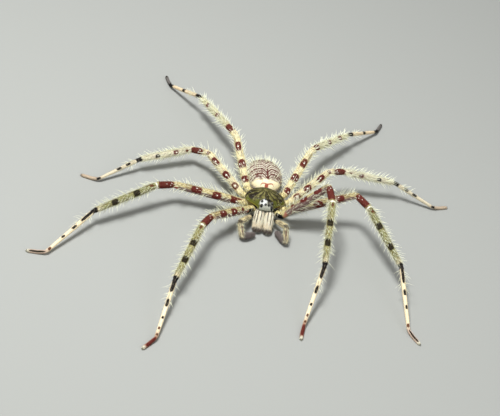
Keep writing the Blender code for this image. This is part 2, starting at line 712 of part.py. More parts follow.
class Leg:
    """One leg, in four nodes: coxa, femur, patella with tibia, metatarsus with tarsus."""

    def __init__(self, spider, side, pair):
        self.spider = spider
        self.name = f"leg{pair}_{side}"
        self.joint = leg_joints(side, pair)
        self.stoutness = STOUTNESS[pair]
        for node, start, end, radius in (
            ("coxa", "root", "hip", max(COXA_RADII)),
            ("femur", "hip", "knee", max(FEMUR_RADII)),
            ("tibia", "knee", "shin", max(PATELLA_RADII)),
            ("tibia", "shin", "heel", max(TIBIA_RADII)),
            ("tarsus", "heel", "ankle", max(METATARSUS_RADII)),
            ("tarsus", "ankle", "claw", max(TARSUS_RADII)),
        ):
            spider.thicket.add(
                self.node(node), self.joint[start], self.joint[end], radius * self.stoutness
            )

    def node(self, segment):
        """Name of one of the leg's nodes."""
        return f"{self.name}_{segment}"

    def way(self, start, end):
        """Direction from one joint to another."""
        return (self.joint[end] - self.joint[start]).normalized()

    def between(self, start, end, share):
        """A point part of the way from one joint to another."""
        return self.joint[start].lerp(self.joint[end], share)

    def tube(self, points, radii):
        """A tube with the leg's stoutness."""
        return tube_mesh(points, [radius * self.stoutness for radius in radii])

    def part(self, mesh, at, plane, beyond):
        """Trims a segment to half a gap short of a joint, beyond it or before it."""
        sign = 1 if beyond else -1
        cut_mesh(mesh, self.joint[at] - sign * plane * HALF_GAP, sign * plane)

    def bristles(self, segment, start, end, shares, radius):
        """Bristles along part of the way between two joints."""
        first, last = (self.between(start, end, share) for share in shares)
        return self.spider.bristle_rows(self.node(segment), first, last, radius * self.stoutness)

    def make(self):
        """Builds the four nodes."""
        hip_plane = mitre(self.way("root", "hip"), self.way("hip", "knee"))
        knee_plane = mitre(self.way("hip", "knee"), self.way("knee", "shin"))
        heel_plane = mitre(self.way("shin", "heel"), self.way("heel", "ankle"))
        self.make_coxa(hip_plane)
        self.make_femur(hip_plane, knee_plane)
        self.make_tibia(knee_plane, heel_plane)
        self.make_foot(heel_plane)

    def make_coxa(self, hip_plane):
        """The hip segment, from the sternum out past the shield's edge."""
        points = [self.joint["root"], self.between("root", "hip", 0.4), self.joint["hip"]]
        points.append(self.joint["hip"] + self.way("root", "hip") * JOINT_OVERRUN)
        mesh = self.tube(points, COXA_RADII)
        self.part(mesh, "hip", hip_plane, beyond=True)
        frame = frame_along(self.joint["root"], self.joint["hip"])
        self.spider.add(self.node("coxa"), mesh, CREAM, frame)

    def make_femur(self, hip_plane, knee_plane):
        """The thigh."""
        way = self.way("hip", "knee")
        points = [self.joint["hip"] - way * JOINT_OVERRUN]
        points += [self.between("hip", "knee", share) for share in (0.18, 0.45, 0.75)]
        points.append(self.joint["knee"] + way * JOINT_OVERRUN)
        mesh = self.tube(points, FEMUR_RADII)
        self.part(mesh, "hip", hip_plane, beyond=False)
        self.part(mesh, "knee", knee_plane, beyond=True)
        frame = frame_along(self.joint["hip"], self.joint["knee"])
        obj = self.spider.add(self.node("femur"), mesh, CREAM, frame)
        self.spider.fuse(obj, self.bristles("femur", "hip", "knee", (0.16, 0.95), FEMUR_RADII[3]))

    def make_tibia(self, knee_plane, heel_plane):
        """The knee segment and the shin, which bend as one."""
        points = [self.joint["knee"] - self.way("knee", "shin") * JOINT_OVERRUN]
        points += [self.between("knee", "shin", 0.5), self.joint["shin"]]
        points += [self.between("shin", "heel", share) for share in (0.2, 0.6)]
        points.append(self.joint["heel"] + self.way("shin", "heel") * JOINT_OVERRUN)
        mesh = self.tube(points, PATELLA_RADII + TIBIA_RADII)
        self.part(mesh, "knee", knee_plane, beyond=False)
        self.part(mesh, "heel", heel_plane, beyond=True)
        frame = frame_along(self.joint["shin"], self.joint["heel"])
        obj = self.spider.add(self.node("tibia"), mesh, CREAM, frame)
        meshes = self.bristles("tibia", "knee", "shin", (0.15, 0.9), PATELLA_RADII[1])
        meshes += self.bristles("tibia", "shin", "heel", (0.03, 0.93), TIBIA_RADII[2])
        self.spider.fuse(obj, meshes)

    def make_foot(self, heel_plane):
        """The long metatarsus and the tarsus, which lies on the floor on a narrow flat."""
        way = self.way("heel", "ankle")
        points = [self.joint["heel"] - way * JOINT_OVERRUN]
        points += [self.between("heel", "ankle", share) for share in (0.3, 0.93)]
        points += [self.joint["ankle"]]
        level = [self.between("ankle", "claw", share) for share in (0.45, 0.88)]
        for point in level:
            point.z = SOLE_AXIS_Z
        points += [*level, self.joint["claw"]]
        mesh = self.tube(points, METATARSUS_RADII + TARSUS_RADII)
        self.part(mesh, "heel", heel_plane, beyond=False)
        cut_mesh(mesh, Vector((0, 0, 0)), DOWN)
        frame = frame_along(self.joint["heel"], self.joint["ankle"])
        obj = self.spider.add(self.node("tarsus"), mesh, PEACH, frame)
        radius = METATARSUS_RADII[1]
        self.spider.fuse(obj, self.bristles("tarsus", "heel", "ankle", (0.04, 0.34), radius))


def main():
    """Builds every part of the spider."""
    for obj in list(bpy.data.objects):
        bpy.data.objects.remove(obj)
    spider = Spider()
    legs = [Leg(spider, side, pair) for side in SIDES for pair in SEGMENT_LENGTHS]
    make_carapace(spider)
    make_sternum(spider)
    make_pedicel(spider)
    abdomen, frame = make_abdomen(spider)
    make_spinnerets(spider)
    for side in SIDES:
        make_jaw(spider, side)
        make_fang(spider, side)
        for name in EYES:
            make_eye(spider, name, side)
    for side in SIDES:
        make_palp(spider, side)
    for leg in legs:
        leg.make()
    spider.fuse(abdomen, abdomen_bristles(spider, frame))
    spider.centre_on_floor()


main()
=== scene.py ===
"""Looks of a life-size huntsman spider: skins, coats, eyes, claws, finishes, light and camera.

Lengths are in metres, written as multiples of MM. Places on the body are given with the origin
on the floor under the shield, the spider facing -Y and its left side at +X. body_origin moves
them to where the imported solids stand.
"""

import logging
import math
from collections.abc import Callable
from dataclasses import dataclass, field
from enum import Enum
from typing import ClassVar, TypeAlias

import bmesh
import bpy
import numpy as np
from mathutils import Matrix, Vector


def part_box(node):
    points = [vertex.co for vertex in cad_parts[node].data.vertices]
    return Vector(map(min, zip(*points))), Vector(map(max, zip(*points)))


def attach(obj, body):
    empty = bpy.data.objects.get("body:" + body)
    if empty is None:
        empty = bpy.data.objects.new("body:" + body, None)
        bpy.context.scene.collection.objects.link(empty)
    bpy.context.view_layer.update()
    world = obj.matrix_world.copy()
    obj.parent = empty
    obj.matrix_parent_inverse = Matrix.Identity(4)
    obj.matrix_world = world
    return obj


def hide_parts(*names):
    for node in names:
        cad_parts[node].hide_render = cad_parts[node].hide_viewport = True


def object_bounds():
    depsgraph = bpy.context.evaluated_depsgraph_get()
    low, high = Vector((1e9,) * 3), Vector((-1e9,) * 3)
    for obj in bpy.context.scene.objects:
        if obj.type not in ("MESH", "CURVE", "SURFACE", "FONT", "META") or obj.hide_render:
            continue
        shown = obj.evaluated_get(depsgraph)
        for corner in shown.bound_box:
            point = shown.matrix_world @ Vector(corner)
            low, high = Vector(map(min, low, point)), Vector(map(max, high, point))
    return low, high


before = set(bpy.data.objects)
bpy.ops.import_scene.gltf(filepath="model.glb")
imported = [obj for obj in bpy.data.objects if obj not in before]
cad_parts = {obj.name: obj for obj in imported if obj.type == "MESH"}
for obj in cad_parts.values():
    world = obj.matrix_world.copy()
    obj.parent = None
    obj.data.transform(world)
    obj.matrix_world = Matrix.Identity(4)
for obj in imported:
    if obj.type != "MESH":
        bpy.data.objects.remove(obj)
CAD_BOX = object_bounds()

LOG = logging.getLogger("spider")
SEED = 26
MM = 0.001
UP = np.array([0.0, 0.0, 1.0])
TURN = 2 * math.pi
WELD = 0.0005 * MM
COAT_DEPTH = 0.06 * MM
FLOOR_CLEARANCE = 0.02 * MM
CEILING = CAD_BOX[1][2] + 0.1 * MM
EVEN_STEPS = (0.7548776662, 0.5698402910)  # Steps of a sequence that fills a square evenly.

Array = np.ndarray
Paint = tuple[float, float, float, float]
Spot = tuple[float, float, float]
Span = tuple[float, float]
Numbers = tuple[float, ...]
Table = tuple[Span, ...]
Shape = Callable[[Array, Array], tuple[Array, Array, Array]]
Keep = Callable[[Array, Array], Array]
Link = bpy.types.NodeSocket
Mesh = bpy.types.Mesh
Look = bpy.types.Material


class Side(Enum):
    """The spider's own sides, with the sign of X on each."""

    LEFT = 1
    RIGHT = -1

    @property
    def word(self) -> str:
        """The side's name as it stands in the nodes' names."""
        return self.name.lower()


class Layer(Enum):
    """What a finish is laid on."""

    SKIN = "skin"
    FUR = "fur"


def paint(red: int, green: int, blue: int) -> Paint:
    """A colour as shaders hold it.

    Args:
        red: Red as a screen shows it, from 0 to 255.
        green: Green in the same way.
        blue: Blue in the same way.

    Returns:
        The linear colour with full opacity.
    """
    shares = [part / 255 for part in (red, green, blue)]
    linear = [s / 12.92 if s <= 0.04045 else ((s + 0.055) / 1.055) ** 2.4 for s in shares]
    return (*linear, 1.0)


def millimetres(spot: Spot) -> Array:
    """A point written in millimetres, in metres."""
    return np.array(spot) * MM


def unit(vectors: Array) -> Array:
    """Rows of vectors brought to length 1."""
    return vectors / np.maximum(np.linalg.norm(vectors, axis=-1, keepdims=True), 1e-12)


def rows_at(rows: Array, at: Array) -> Array:
    """Rows of a table read at places between its rows, as fractional row numbers."""
    whole = np.arange(len(rows))
    return np.stack([np.interp(at, whole, column) for column in rows.T], axis=-1)


def hill(distance: Array) -> Array:
    """A smooth hill of height 1 over a distance of about 1."""
    return np.exp(-(distance**2))


def finished(bm: bmesh.types.BMesh, name: str) -> Mesh:
    """A worked shape as a new mesh.

    Args:
        bm: The shape, which is freed.
        name: The mesh's name.

    Returns:
        The mesh.
    """
    mesh = bpy.data.meshes.new(name)
    bm.to_mesh(mesh)
    bm.free()
    return mesh


def swung(degrees: float) -> Array:
    """The turn by an angle about the upright."""
    return np.array(Matrix.Rotation(math.radians(degrees), 3, "Z"))


def mesh_object(name: str, mesh: Mesh) -> bpy.types.Object:
    """Puts a mesh in the scene as an object at the origin, shaded smooth.

    Args:
        name: The object's name.
        mesh: Its mesh, in the frame's place.

    Returns:
        The new object.
    """
    mesh.shade_smooth()
    obj = bpy.data.objects.new(name, mesh)
    bpy.context.collection.objects.link(obj)
    return obj


def keep_vectors(mesh: Mesh, name: str, values: Array) -> None:
    """Writes one vector for each vertex into a mesh, for materials to read by name."""
    mesh.attributes.new(name, "FLOAT_VECTOR", "POINT")
    mesh.attributes[name].data.foreach_set("vector", values.astype(np.float32).ravel())


def joined(name: str, meshes: list[Mesh]) -> Mesh:
    """Several meshes as one.

    Args:
        name: The new mesh's name.
        meshes: The meshes, which are removed.

    Returns:
        The new mesh.
    """
    bm = bmesh.new()
    for mesh in meshes:
        bm.from_mesh(mesh)
    whole = finished(bm, name)
    for mesh in meshes:
        bpy.data.meshes.remove(mesh)
    return whole


def settle(name: str, mesh: Mesh, look: Look, slot: str, *nodes: str) -> None:
    """Makes a piece of a mesh and gives it its material and its place in the frame.

    Args:
        name: The piece's name.
        mesh: Its mesh, in the frame's place.
        look: Its material.
        slot: Not used.
        nodes: The solids that it takes the place of.
    """
    obj = mesh_object(name, mesh)
    mesh.materials.append(look)
    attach(obj, "root")
    if nodes:
        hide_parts(*nodes)
    mesh.calc_loop_triangles()
    LOG.info("%s: %d triangles", name, len(mesh.loop_triangles))


@dataclass(frozen=True)
class Roots:
    """Where hairs grow: foot, outward direction, lie, place in the markings and on the unwrap."""

    foot: Array
    outward: Array
    lie: Array
    place: Array
    patch: Array

    def only(self, chosen: Array | slice) -> "Roots":
        """Those roots that a mask or a slice picks."""
        return Roots(*(getattr(self, name)[chosen] for name in self.__dataclass_fields__))


@dataclass(frozen=True)
class Sheet:
    """A closed surface laid over a grid.

    Attributes:
        shape: Gives points, places in the markings and the lie of the hair for turns round the
            surface, from 0 to a full circle, and shares along it, from 0 to 1.
        across: How many faces go round it.
        along: How many faces go along it.
    """

    shape: Shape
    across: int
    along: int

    def mesh(self, name: str) -> Mesh:
        """The surface as a closed mesh with its places in the markings.

        Args:
            name: The mesh's name.

        Returns:
            The mesh, its seam and ends welded and its faces pointing out.
        """
        bm = bmesh.new()
        bmesh.ops.create_grid(bm, x_segments=self.across, y_segments=self.along, size=1.0)
        mesh = finished(bm, name)
        flat = np.empty(len(mesh.vertices) * 3, np.float32)
        mesh.vertices.foreach_get("co", flat)
        grid = flat.reshape(-1, 3).astype(float)
        point, place, _ = self.shape((grid[:, 0] + 1) * math.pi, (grid[:, 1] + 1) / 2)
        point[:, 2] = np.maximum(point[:, 2], FLOOR_CLEARANCE)
        mesh.vertices.foreach_set("co", point.astype(np.float32).ravel())
        keep_vectors(mesh, "place", place)
        bm = bmesh.new()
        bm.from_mesh(mesh)
        bmesh.ops.remove_doubles(bm, verts=bm.verts, dist=WELD)
        bmesh.ops.recalc_face_normals(bm, faces=bm.faces)
        if bm.calc_volume(signed=True) < 0:
            bmesh.ops.reverse_faces(bm, faces=bm.faces)
        bm.to_mesh(mesh)
        bm.free()
        return mesh

    def slopes(self, turn: Array, share: Array) -> tuple[Array, Array]:
        """How the surface's point moves with the turn and with the share.

        Args:
            turn: Turns round the surface.
            share: Shares along it.

        Returns:
            The two rows of directions.
        """
        step = 0.002
        low, high = np.clip(share - step, 0, 1), np.clip(share + step, 0, 1)
        round_it = self.shape(turn + step, share)[0] - self.shape(turn - step, share)[0]
        along_it = self.shape(turn, high)[0] - self.shape(turn, low)[0]
        return round_it / (2 * step), along_it / (high - low)[:, None]

    def ring_middles(self, rows: Array) -> Array:
        """Middles of the rings.

        Args:
            rows: Shares along the surface.

        Returns:
            One point for each.
        """
        turns = np.linspace(0, TURN, 12, endpoint=False)
        point = self.shape(np.tile(turns, len(rows)), np.repeat(rows, len(turns)))[0]
        return point.reshape(len(rows), len(turns), 3).mean(axis=1)

    def scatter(self, count: int, keep: Keep | None = None) -> Roots:
        """Spreads hair roots evenly over the surface.

        Args:
            count: How many are spread before any is left out.
            keep: Tells from place and outward direction how likely each root is kept.

        Returns:
            The roots.
        """
        rows = np.linspace(0.002, 0.998, 240)
        turns = np.linspace(0, TURN, 24, endpoint=False)
        round_it, along_it = self.slopes(np.tile(turns, len(rows)), np.repeat(rows, len(turns)))
        area = np.linalg.norm(np.cross(round_it, along_it), axis=1).reshape(len(rows), -1)
        fill = np.cumsum(area.sum(axis=1))
        number = np.arange(count)
        share = np.interp((0.5 + number * EVEN_STEPS[0]) % 1.0, fill / fill[-1], rows)
        turn = (0.5 + number * EVEN_STEPS[1]) % 1.0 * TURN
        point, place, lie = self.shape(turn, share)
        round_it, along_it = self.slopes(turn, share)
        outward = unit(np.cross(round_it, along_it))
        middle = rows_at(self.ring_middles(rows), (share - 0.002) / 0.996 * (len(rows) - 1))
        if np.mean(np.sum(outward * (point - middle), axis=1)) < 0:
            outward = -outward
        lie = unit(lie - outward * np.sum(lie * outward, axis=1, keepdims=True))
        patch = np.stack([turn / TURN, share], axis=1) * 0.98 + 0.01
        roots = Roots(point, outward, lie, place, patch)
        if keep is None:
            return roots
        chance = np.random.default_rng(SEED).random(count)
        return roots.only(chance < keep(place, outward))


@dataclass(frozen=True)
class Hair:
    """How one kind of hair grows.

    Attributes:
        length: Its mean length.
        radius: Its radius at the root.
        root_rise: Degrees above the skin at its root.
        tip_rise: Degrees above the skin at its tip.
        spread: Share by which lengths differ.
        sway: Degrees by which directions differ.
        flatness: Its thickness over its width.
        sides: Faces round it.
        rings: Rings from root to tip.
        stiff: 0 for fur in the markings' colours, 1 for a pale bristle.
    """

    length: float
    radius: float
    root_rise: float
    tip_rise: float
    spread: float = 0.2
    sway: float = 14.0
    flatness: float = 0.7
    sides: int = 3
    rings: int = 2
    stiff: float = 0.0

    def grow(self, roots: Roots, seed: int) -> tuple[Array, Array]:
        """Points of all hairs.

        Args:
            roots: Where they grow.
            seed: Seed of their random differences.

        Returns:
            Points for each hair, ring by ring and then its tip, and for each point its share of
            the hair's length, the hair's own random number and how stiff a bristle it is.
        """
        rng = np.random.default_rng(SEED + seed)
        count = len(roots.foot)
        length = self.length * rng.normal(1.0, self.spread, count).clip(0.5, 1.5)[:, None]
        sway = np.radians(rng.normal(0.0, self.sway, count))[:, None]
        rise = np.radians(rng.normal(0.0, self.sway / 2, count))[:, None]
        lie = roots.lie * np.cos(sway) + np.cross(roots.outward, roots.lie) * np.sin(sway)
        start, end = (
            lie * np.cos(angle) + roots.outward * np.sin(angle)
            for angle in (math.radians(self.root_rise) + rise, math.radians(self.tip_rise) + rise)
        )
        across = unit(np.cross(start, roots.outward + 0.01))
        over = np.cross(across, start)
        foot = roots.foot - roots.outward * self.radius
        points, shares = [], []
        for number in range(self.rings):
            share = number / self.rings
            middle = foot + length * (start * share + (end - start) * share**2 / 2)
            width = self.radius * (1 - share) ** 0.6
            for corner in range(self.sides):
                angle = TURN * corner / self.sides
                offset = across * math.cos(angle) + over * math.sin(angle) * self.flatness
                points.append(middle + offset * width)
                shares.append(share)
        points.append(foot + length * (start + end) / 2)
        shares.append(1.0)
        cloud = np.stack(points, axis=1)
        root_z = foot[:, None, 2]
        tallest = np.maximum((cloud[..., 2] - root_z).max(axis=1, keepdims=True), WELD)
        room = np.minimum(1, (CEILING - root_z) / tallest)
        cloud[..., 2] = root_z + (cloud[..., 2] - root_z) * room
        cloud[..., 2] = np.maximum(cloud[..., 2], FLOOR_CLEARANCE / 2)
        strand = np.empty_like(cloud)
        strand[..., 0] = np.array(shares)
        strand[..., 1] = rng.random(count)[:, None]
        strand[..., 2] = self.stiff
        return cloud, strand

    def faces(self) -> list[list[int]]:
        """Faces of one hair: its closed root, its sides and its tip.

        Returns:
            The corners of each face, as numbers of the hair's points.
        """
        last = self.sides * self.rings
        found = [list(range(self.sides))[::-1]]
        for ring in range(self.rings):
            for corner in range(self.sides):
                here = ring * self.sides + corner
                beside = ring * self.sides + (corner + 1) % self.sides
                if ring == self.rings - 1:
                    found.append([here, beside, last])
                else:
                    found.append([here, beside, beside + self.sides, here + self.sides])
        return found


@dataclass
class Coat:
    """One piece of fur: many closed hairs in one mesh, with their map for baking."""

    patch_size: float = 0.003
    points: list[Array] = field(default_factory=list)
    strands: list[Array] = field(default_factory=list)
    places: list[Array] = field(default_factory=list)
    patches: list[Array] = field(default_factory=list)
    corners: list[Array] = field(default_factory=list)
    sizes: list[Array] = field(default_factory=list)
    count: int = 0

    def add(self, hair: Hair, roots: Roots, seed: int) -> None:
        """Grows one kind of hair on some roots.

        Args:
            hair: The kind of hair.
            roots: Where it grows.
            seed: Seed of its random differences.
        """
        cloud, strand = hair.grow(roots, seed)
        hairs, each = cloud.shape[:2]
        faces = hair.faces()
        template = np.concatenate([np.array(face) for face in faces])
        starts = self.count + np.arange(hairs) * each
        self.points.append(cloud.reshape(-1, 3))
        self.strands.append(strand.reshape(-1, 3))
        self.places.append(np.repeat(roots.place, each, axis=0))
        drift = np.stack([np.sin(np.arange(each) * 2.1), strand[0, :, 0] * 2 - 1], axis=1)
        patch = roots.patch[:, None, :] + drift[None] * self.patch_size / 2
        self.patches.append(patch.reshape(-1, 2))
        self.corners.append((starts[:, None] + template[None]).ravel())
        self.sizes.append(np.tile([len(face) for face in faces], hairs))
        self.count += hairs * each

    def mesh(self, name: str) -> Mesh:
        """The coat as one mesh.

        Args:
            name: The mesh's name.

        Returns:
            The mesh.
        """
        corners, sizes = np.concatenate(self.corners), np.concatenate(self.sizes)
        mesh = bpy.data.meshes.new(name)
        mesh.vertices.add(self.count)
        mesh.vertices.foreach_set("co", np.concatenate(self.points).astype(np.float32).ravel())
        mesh.loops.add(len(corners))
        mesh.loops.foreach_set("vertex_index", corners.astype(np.int32))
        mesh.polygons.add(len(sizes))
        first = np.concatenate([[0], np.cumsum(sizes)[:-1]])
        mesh.polygons.foreach_set("loop_start", first.astype(np.int32))
        mesh.update(calc_edges=True)
        mesh.validate()
        keep_vectors(mesh, "place", np.concatenate(self.places))
        keep_vectors(mesh, "strand", np.concatenate(self.strands))
        patches = np.concatenate(self.patches)[corners]
        layer = mesh.uv_layers.new(name="OFBake")
        layer.uv.foreach_set("vector", patches.astype(np.float32).ravel())
        return mesh


def smooth_line(points: Array, marks: Array, bends: Array) -> tuple[Array, Array]:
    """A line through joints with each corner rounded.

    Args:
        points: The joints.
        marks: A value at each joint, such as how many segments lie before it.
        bends: How far before and after each joint its rounding reaches, 0 at the ends.

    Returns:
        Points along the line and the value at each.
    """
    spots, values = [points[0]], [marks[0]]
    for number in range(1, len(points)):
        before, joint = points[number - 1], points[number]
        near = 1 - bends[number] / np.linalg.norm(joint - before)
        spots.append(before + (joint - before) * near)
        values.append(marks[number - 1] + (marks[number] - marks[number - 1]) * near)
        if number == len(points) - 1:
            break
        after = points[number + 1]
        far = bends[number] / np.linalg.norm(after - joint)
        leave = joint + (after - joint) * far
        mark = marks[number] + (marks[number + 1] - marks[number]) * far
        start, value = spots[-1], values[-1]
        for share in np.linspace(0, 1, 9)[1:]:
            pull = 2 * share * (1 - share)
            spots.append(start * (1 - share) ** 2 + joint * pull + leave * share**2)
            values.append(value * (1 - share) ** 2 + marks[number] * pull + mark * share**2)
    return np.array(spots), np.array(values)


@dataclass
class Tube:
    """A limb: rings along a bent line, wider and narrower by a list of stations.

    Attributes:
        joints: The joints, root first.
        marks: The value of the place along the limb at each joint.
        widths: Table of a place along the limb and the radius there.
        bend: How far each joint's rounding reaches.
        front: 1 where the limb's first side faces the spider's front, or else -1.
        spacing: Distance between rings.
        sides: How many faces go round it.
        limit: Holds points off a neighbour.
        rows_of_spots: Table of a place along the limb and how far the row of spots, from which
            turns in the markings are counted, lies from its top towards the front.
        slide: Table of a place along the limb and the place in the markings there.
        swell: How far the skin stands up at a place and turn.
    """

    joints: list[Array]
    marks: list[float]
    widths: list[Span]
    bend: float
    front: float = 1.0
    spacing: float = 0.2 * MM
    sides: int = 28
    limit: Callable[[Array], Array] | None = None
    rows_of_spots: list[Span] = field(default_factory=lambda: [(0.0, 0.0)])
    slide: Table = ((0.0, 0.0), (6.0, 6.0))
    swell: Callable[[Array, Array], Array] | None = None
    rows: Array = field(init=False)

    def __post_init__(self) -> None:
        """Works out the rings."""
        bends = np.full(len(self.joints), self.bend)
        bends[0] = bends[-1] = 0.0
        spots, values = smooth_line(np.array(self.joints), np.array(self.marks), bends)
        walked = np.concatenate([[0], np.cumsum(np.linalg.norm(np.diff(spots, axis=0), axis=1))])
        marks, radii = zip(*self.widths)
        cap_start, cap_end = radii[0], radii[-1]
        total = walked[-1]
        dome = 1 - np.cos(np.linspace(0, math.pi / 2, 7))
        between = np.arange(cap_start, total - cap_end, self.spacing)
        stations = np.concatenate([dome[:-1] * cap_start, between, total - dome[::-1] * cap_end])
        centre = np.stack([np.interp(stations, walked, column) for column in spots.T], axis=1)
        along = np.interp(stations, walked, values)
        radius = np.interp(along, marks, radii)
        for reach, end in ((stations, cap_start), (total - stations, cap_end)):
            radius *= np.sqrt(1 - (1 - np.clip(reach / end, 0, 1)) ** 2)
        way = unit(np.gradient(centre, stations, axis=0))
        side = unit(np.cross(way, UP))
        lift = np.cross(side, way)
        self.rows = np.hstack([centre, side, lift, way, along[:, None], radius[:, None]])

    def shape(self, turn: Array, share: Array) -> tuple[Array, Array, Array]:
        """Points, places and lie of the limb's surface.

        Args:
            turn: Turns round the limb.
            share: Shares along it.

        Returns:
            The points, the places in the markings and the directions in which hair lies.
        """
        row = rows_at(self.rows, share * (len(self.rows) - 1))
        centre, side, lift, way = (row[:, start:start + 3] for start in (0, 3, 6, 9))
        along, radius = row[:, 12], row[:, 13:14]
        angle = turn - math.pi / 2
        across, rise = np.cos(angle), np.sin(angle)
        spots = np.interp(along, *zip(*self.rows_of_spots))
        aside = np.arctan2(self.front * across, rise) - spots
        marked = np.interp(along, *zip(*self.slide))
        if self.swell:
            radius = radius + self.swell(marked, aside)[:, None]
        point = centre + (side * across[:, None] + lift * rise[:, None]) * radius
        if self.limit:
            point = self.limit(point)
        place = np.stack([marked, np.sin(aside), np.cos(aside)], axis=1)
        return point, place, way

    def sheet(self) -> Sheet:
        """The limb's surface."""
        return Sheet(self.shape, self.sides, len(self.rows) - 1)


Value: TypeAlias = "Signal | float"


class Signal:
    """A value in a material, on which Python's operators add Math nodes."""

    def __init__(self, shader: "Shader", socket: Link) -> None:
        """Wraps an output socket."""
        self.shader = shader
        self.socket = socket

    def __add__(self, other: Value) -> "Signal":
        """Sum."""
        return self.shader.maths("ADD", self, other)

    __radd__ = __add__

    def __sub__(self, other: Value) -> "Signal":
        """Difference."""
        return self.shader.maths("SUBTRACT", self, other)

    def __rsub__(self, other: float) -> "Signal":
        """Difference from a number."""
        return self.shader.maths("SUBTRACT", other, self)

    def __mul__(self, other: Value) -> "Signal":
        """Product."""
        return self.shader.maths("MULTIPLY", self, other)

    __rmul__ = __mul__

    def __truediv__(self, other: Value) -> "Signal":
        """Quotient."""
        return self.shader.maths("DIVIDE", self, other)

    def __rtruediv__(self, other: float) -> "Signal":
        """Quotient of a number."""
        return self.shader.maths("DIVIDE", other, self)

    def __pow__(self, other: Value) -> "Signal":
        """Power."""
        return self.shader.maths("POWER", self, other)

    def __neg__(self) -> "Signal":
        """The value with its sign turned."""
        return self.shader.maths("MULTIPLY", self, -1.0)

    def __abs__(self) -> "Signal":
        """Size without sign."""
        return self.shader.maths("ABSOLUTE", self)

    def root(self) -> "Signal":
        """Square root."""
        return self.shader.maths("SQRT", self)

    def sine(self) -> "Signal":
        """Sine."""
        return self.shader.maths("SINE", self)

    def bearing(self, ahead: "Signal") -> "Signal":
        """The angle of a point this far aside and so far ahead."""
        return self.shader.maths("ARCTAN2", self, ahead)

    def less(self, other: Value) -> "Signal":
        """1 where the value is less than another, 0 elsewhere."""
        return self.shader.maths("LESS_THAN", self, other)

    def most(self, other: Value) -> "Signal":
        """The greater of two values."""
        return self.shader.maths("MAXIMUM", self, other)

    def over(self, low: float, high: float) -> "Signal":
        """A smooth rise from 0 at the first value to 1 at the second, or a fall.

        Args:
            low: Where the result starts to change.
            high: Where it ends. It may be less than the first, for a fall.

        Returns:
            The result.
        """
        start, end = (0.0, 1.0) if low < high else (1.0, 0.0)
        low, high = min(low, high), max(low, high)
        values = {0: self, 1: low, 2: high, 3: start, 4: end}
        node = self.shader.node("MapRange", {"interpolation_type": "SMOOTHSTEP"}, values)
        return Signal(self.shader, node.outputs[0])

    def between(self, low: float, high: float, edge: float) -> "Signal":
        """1 between two values and 0 outside them, with soft edges of the given width."""
        return self.over(low, low + edge) * self.over(high, high - edge)


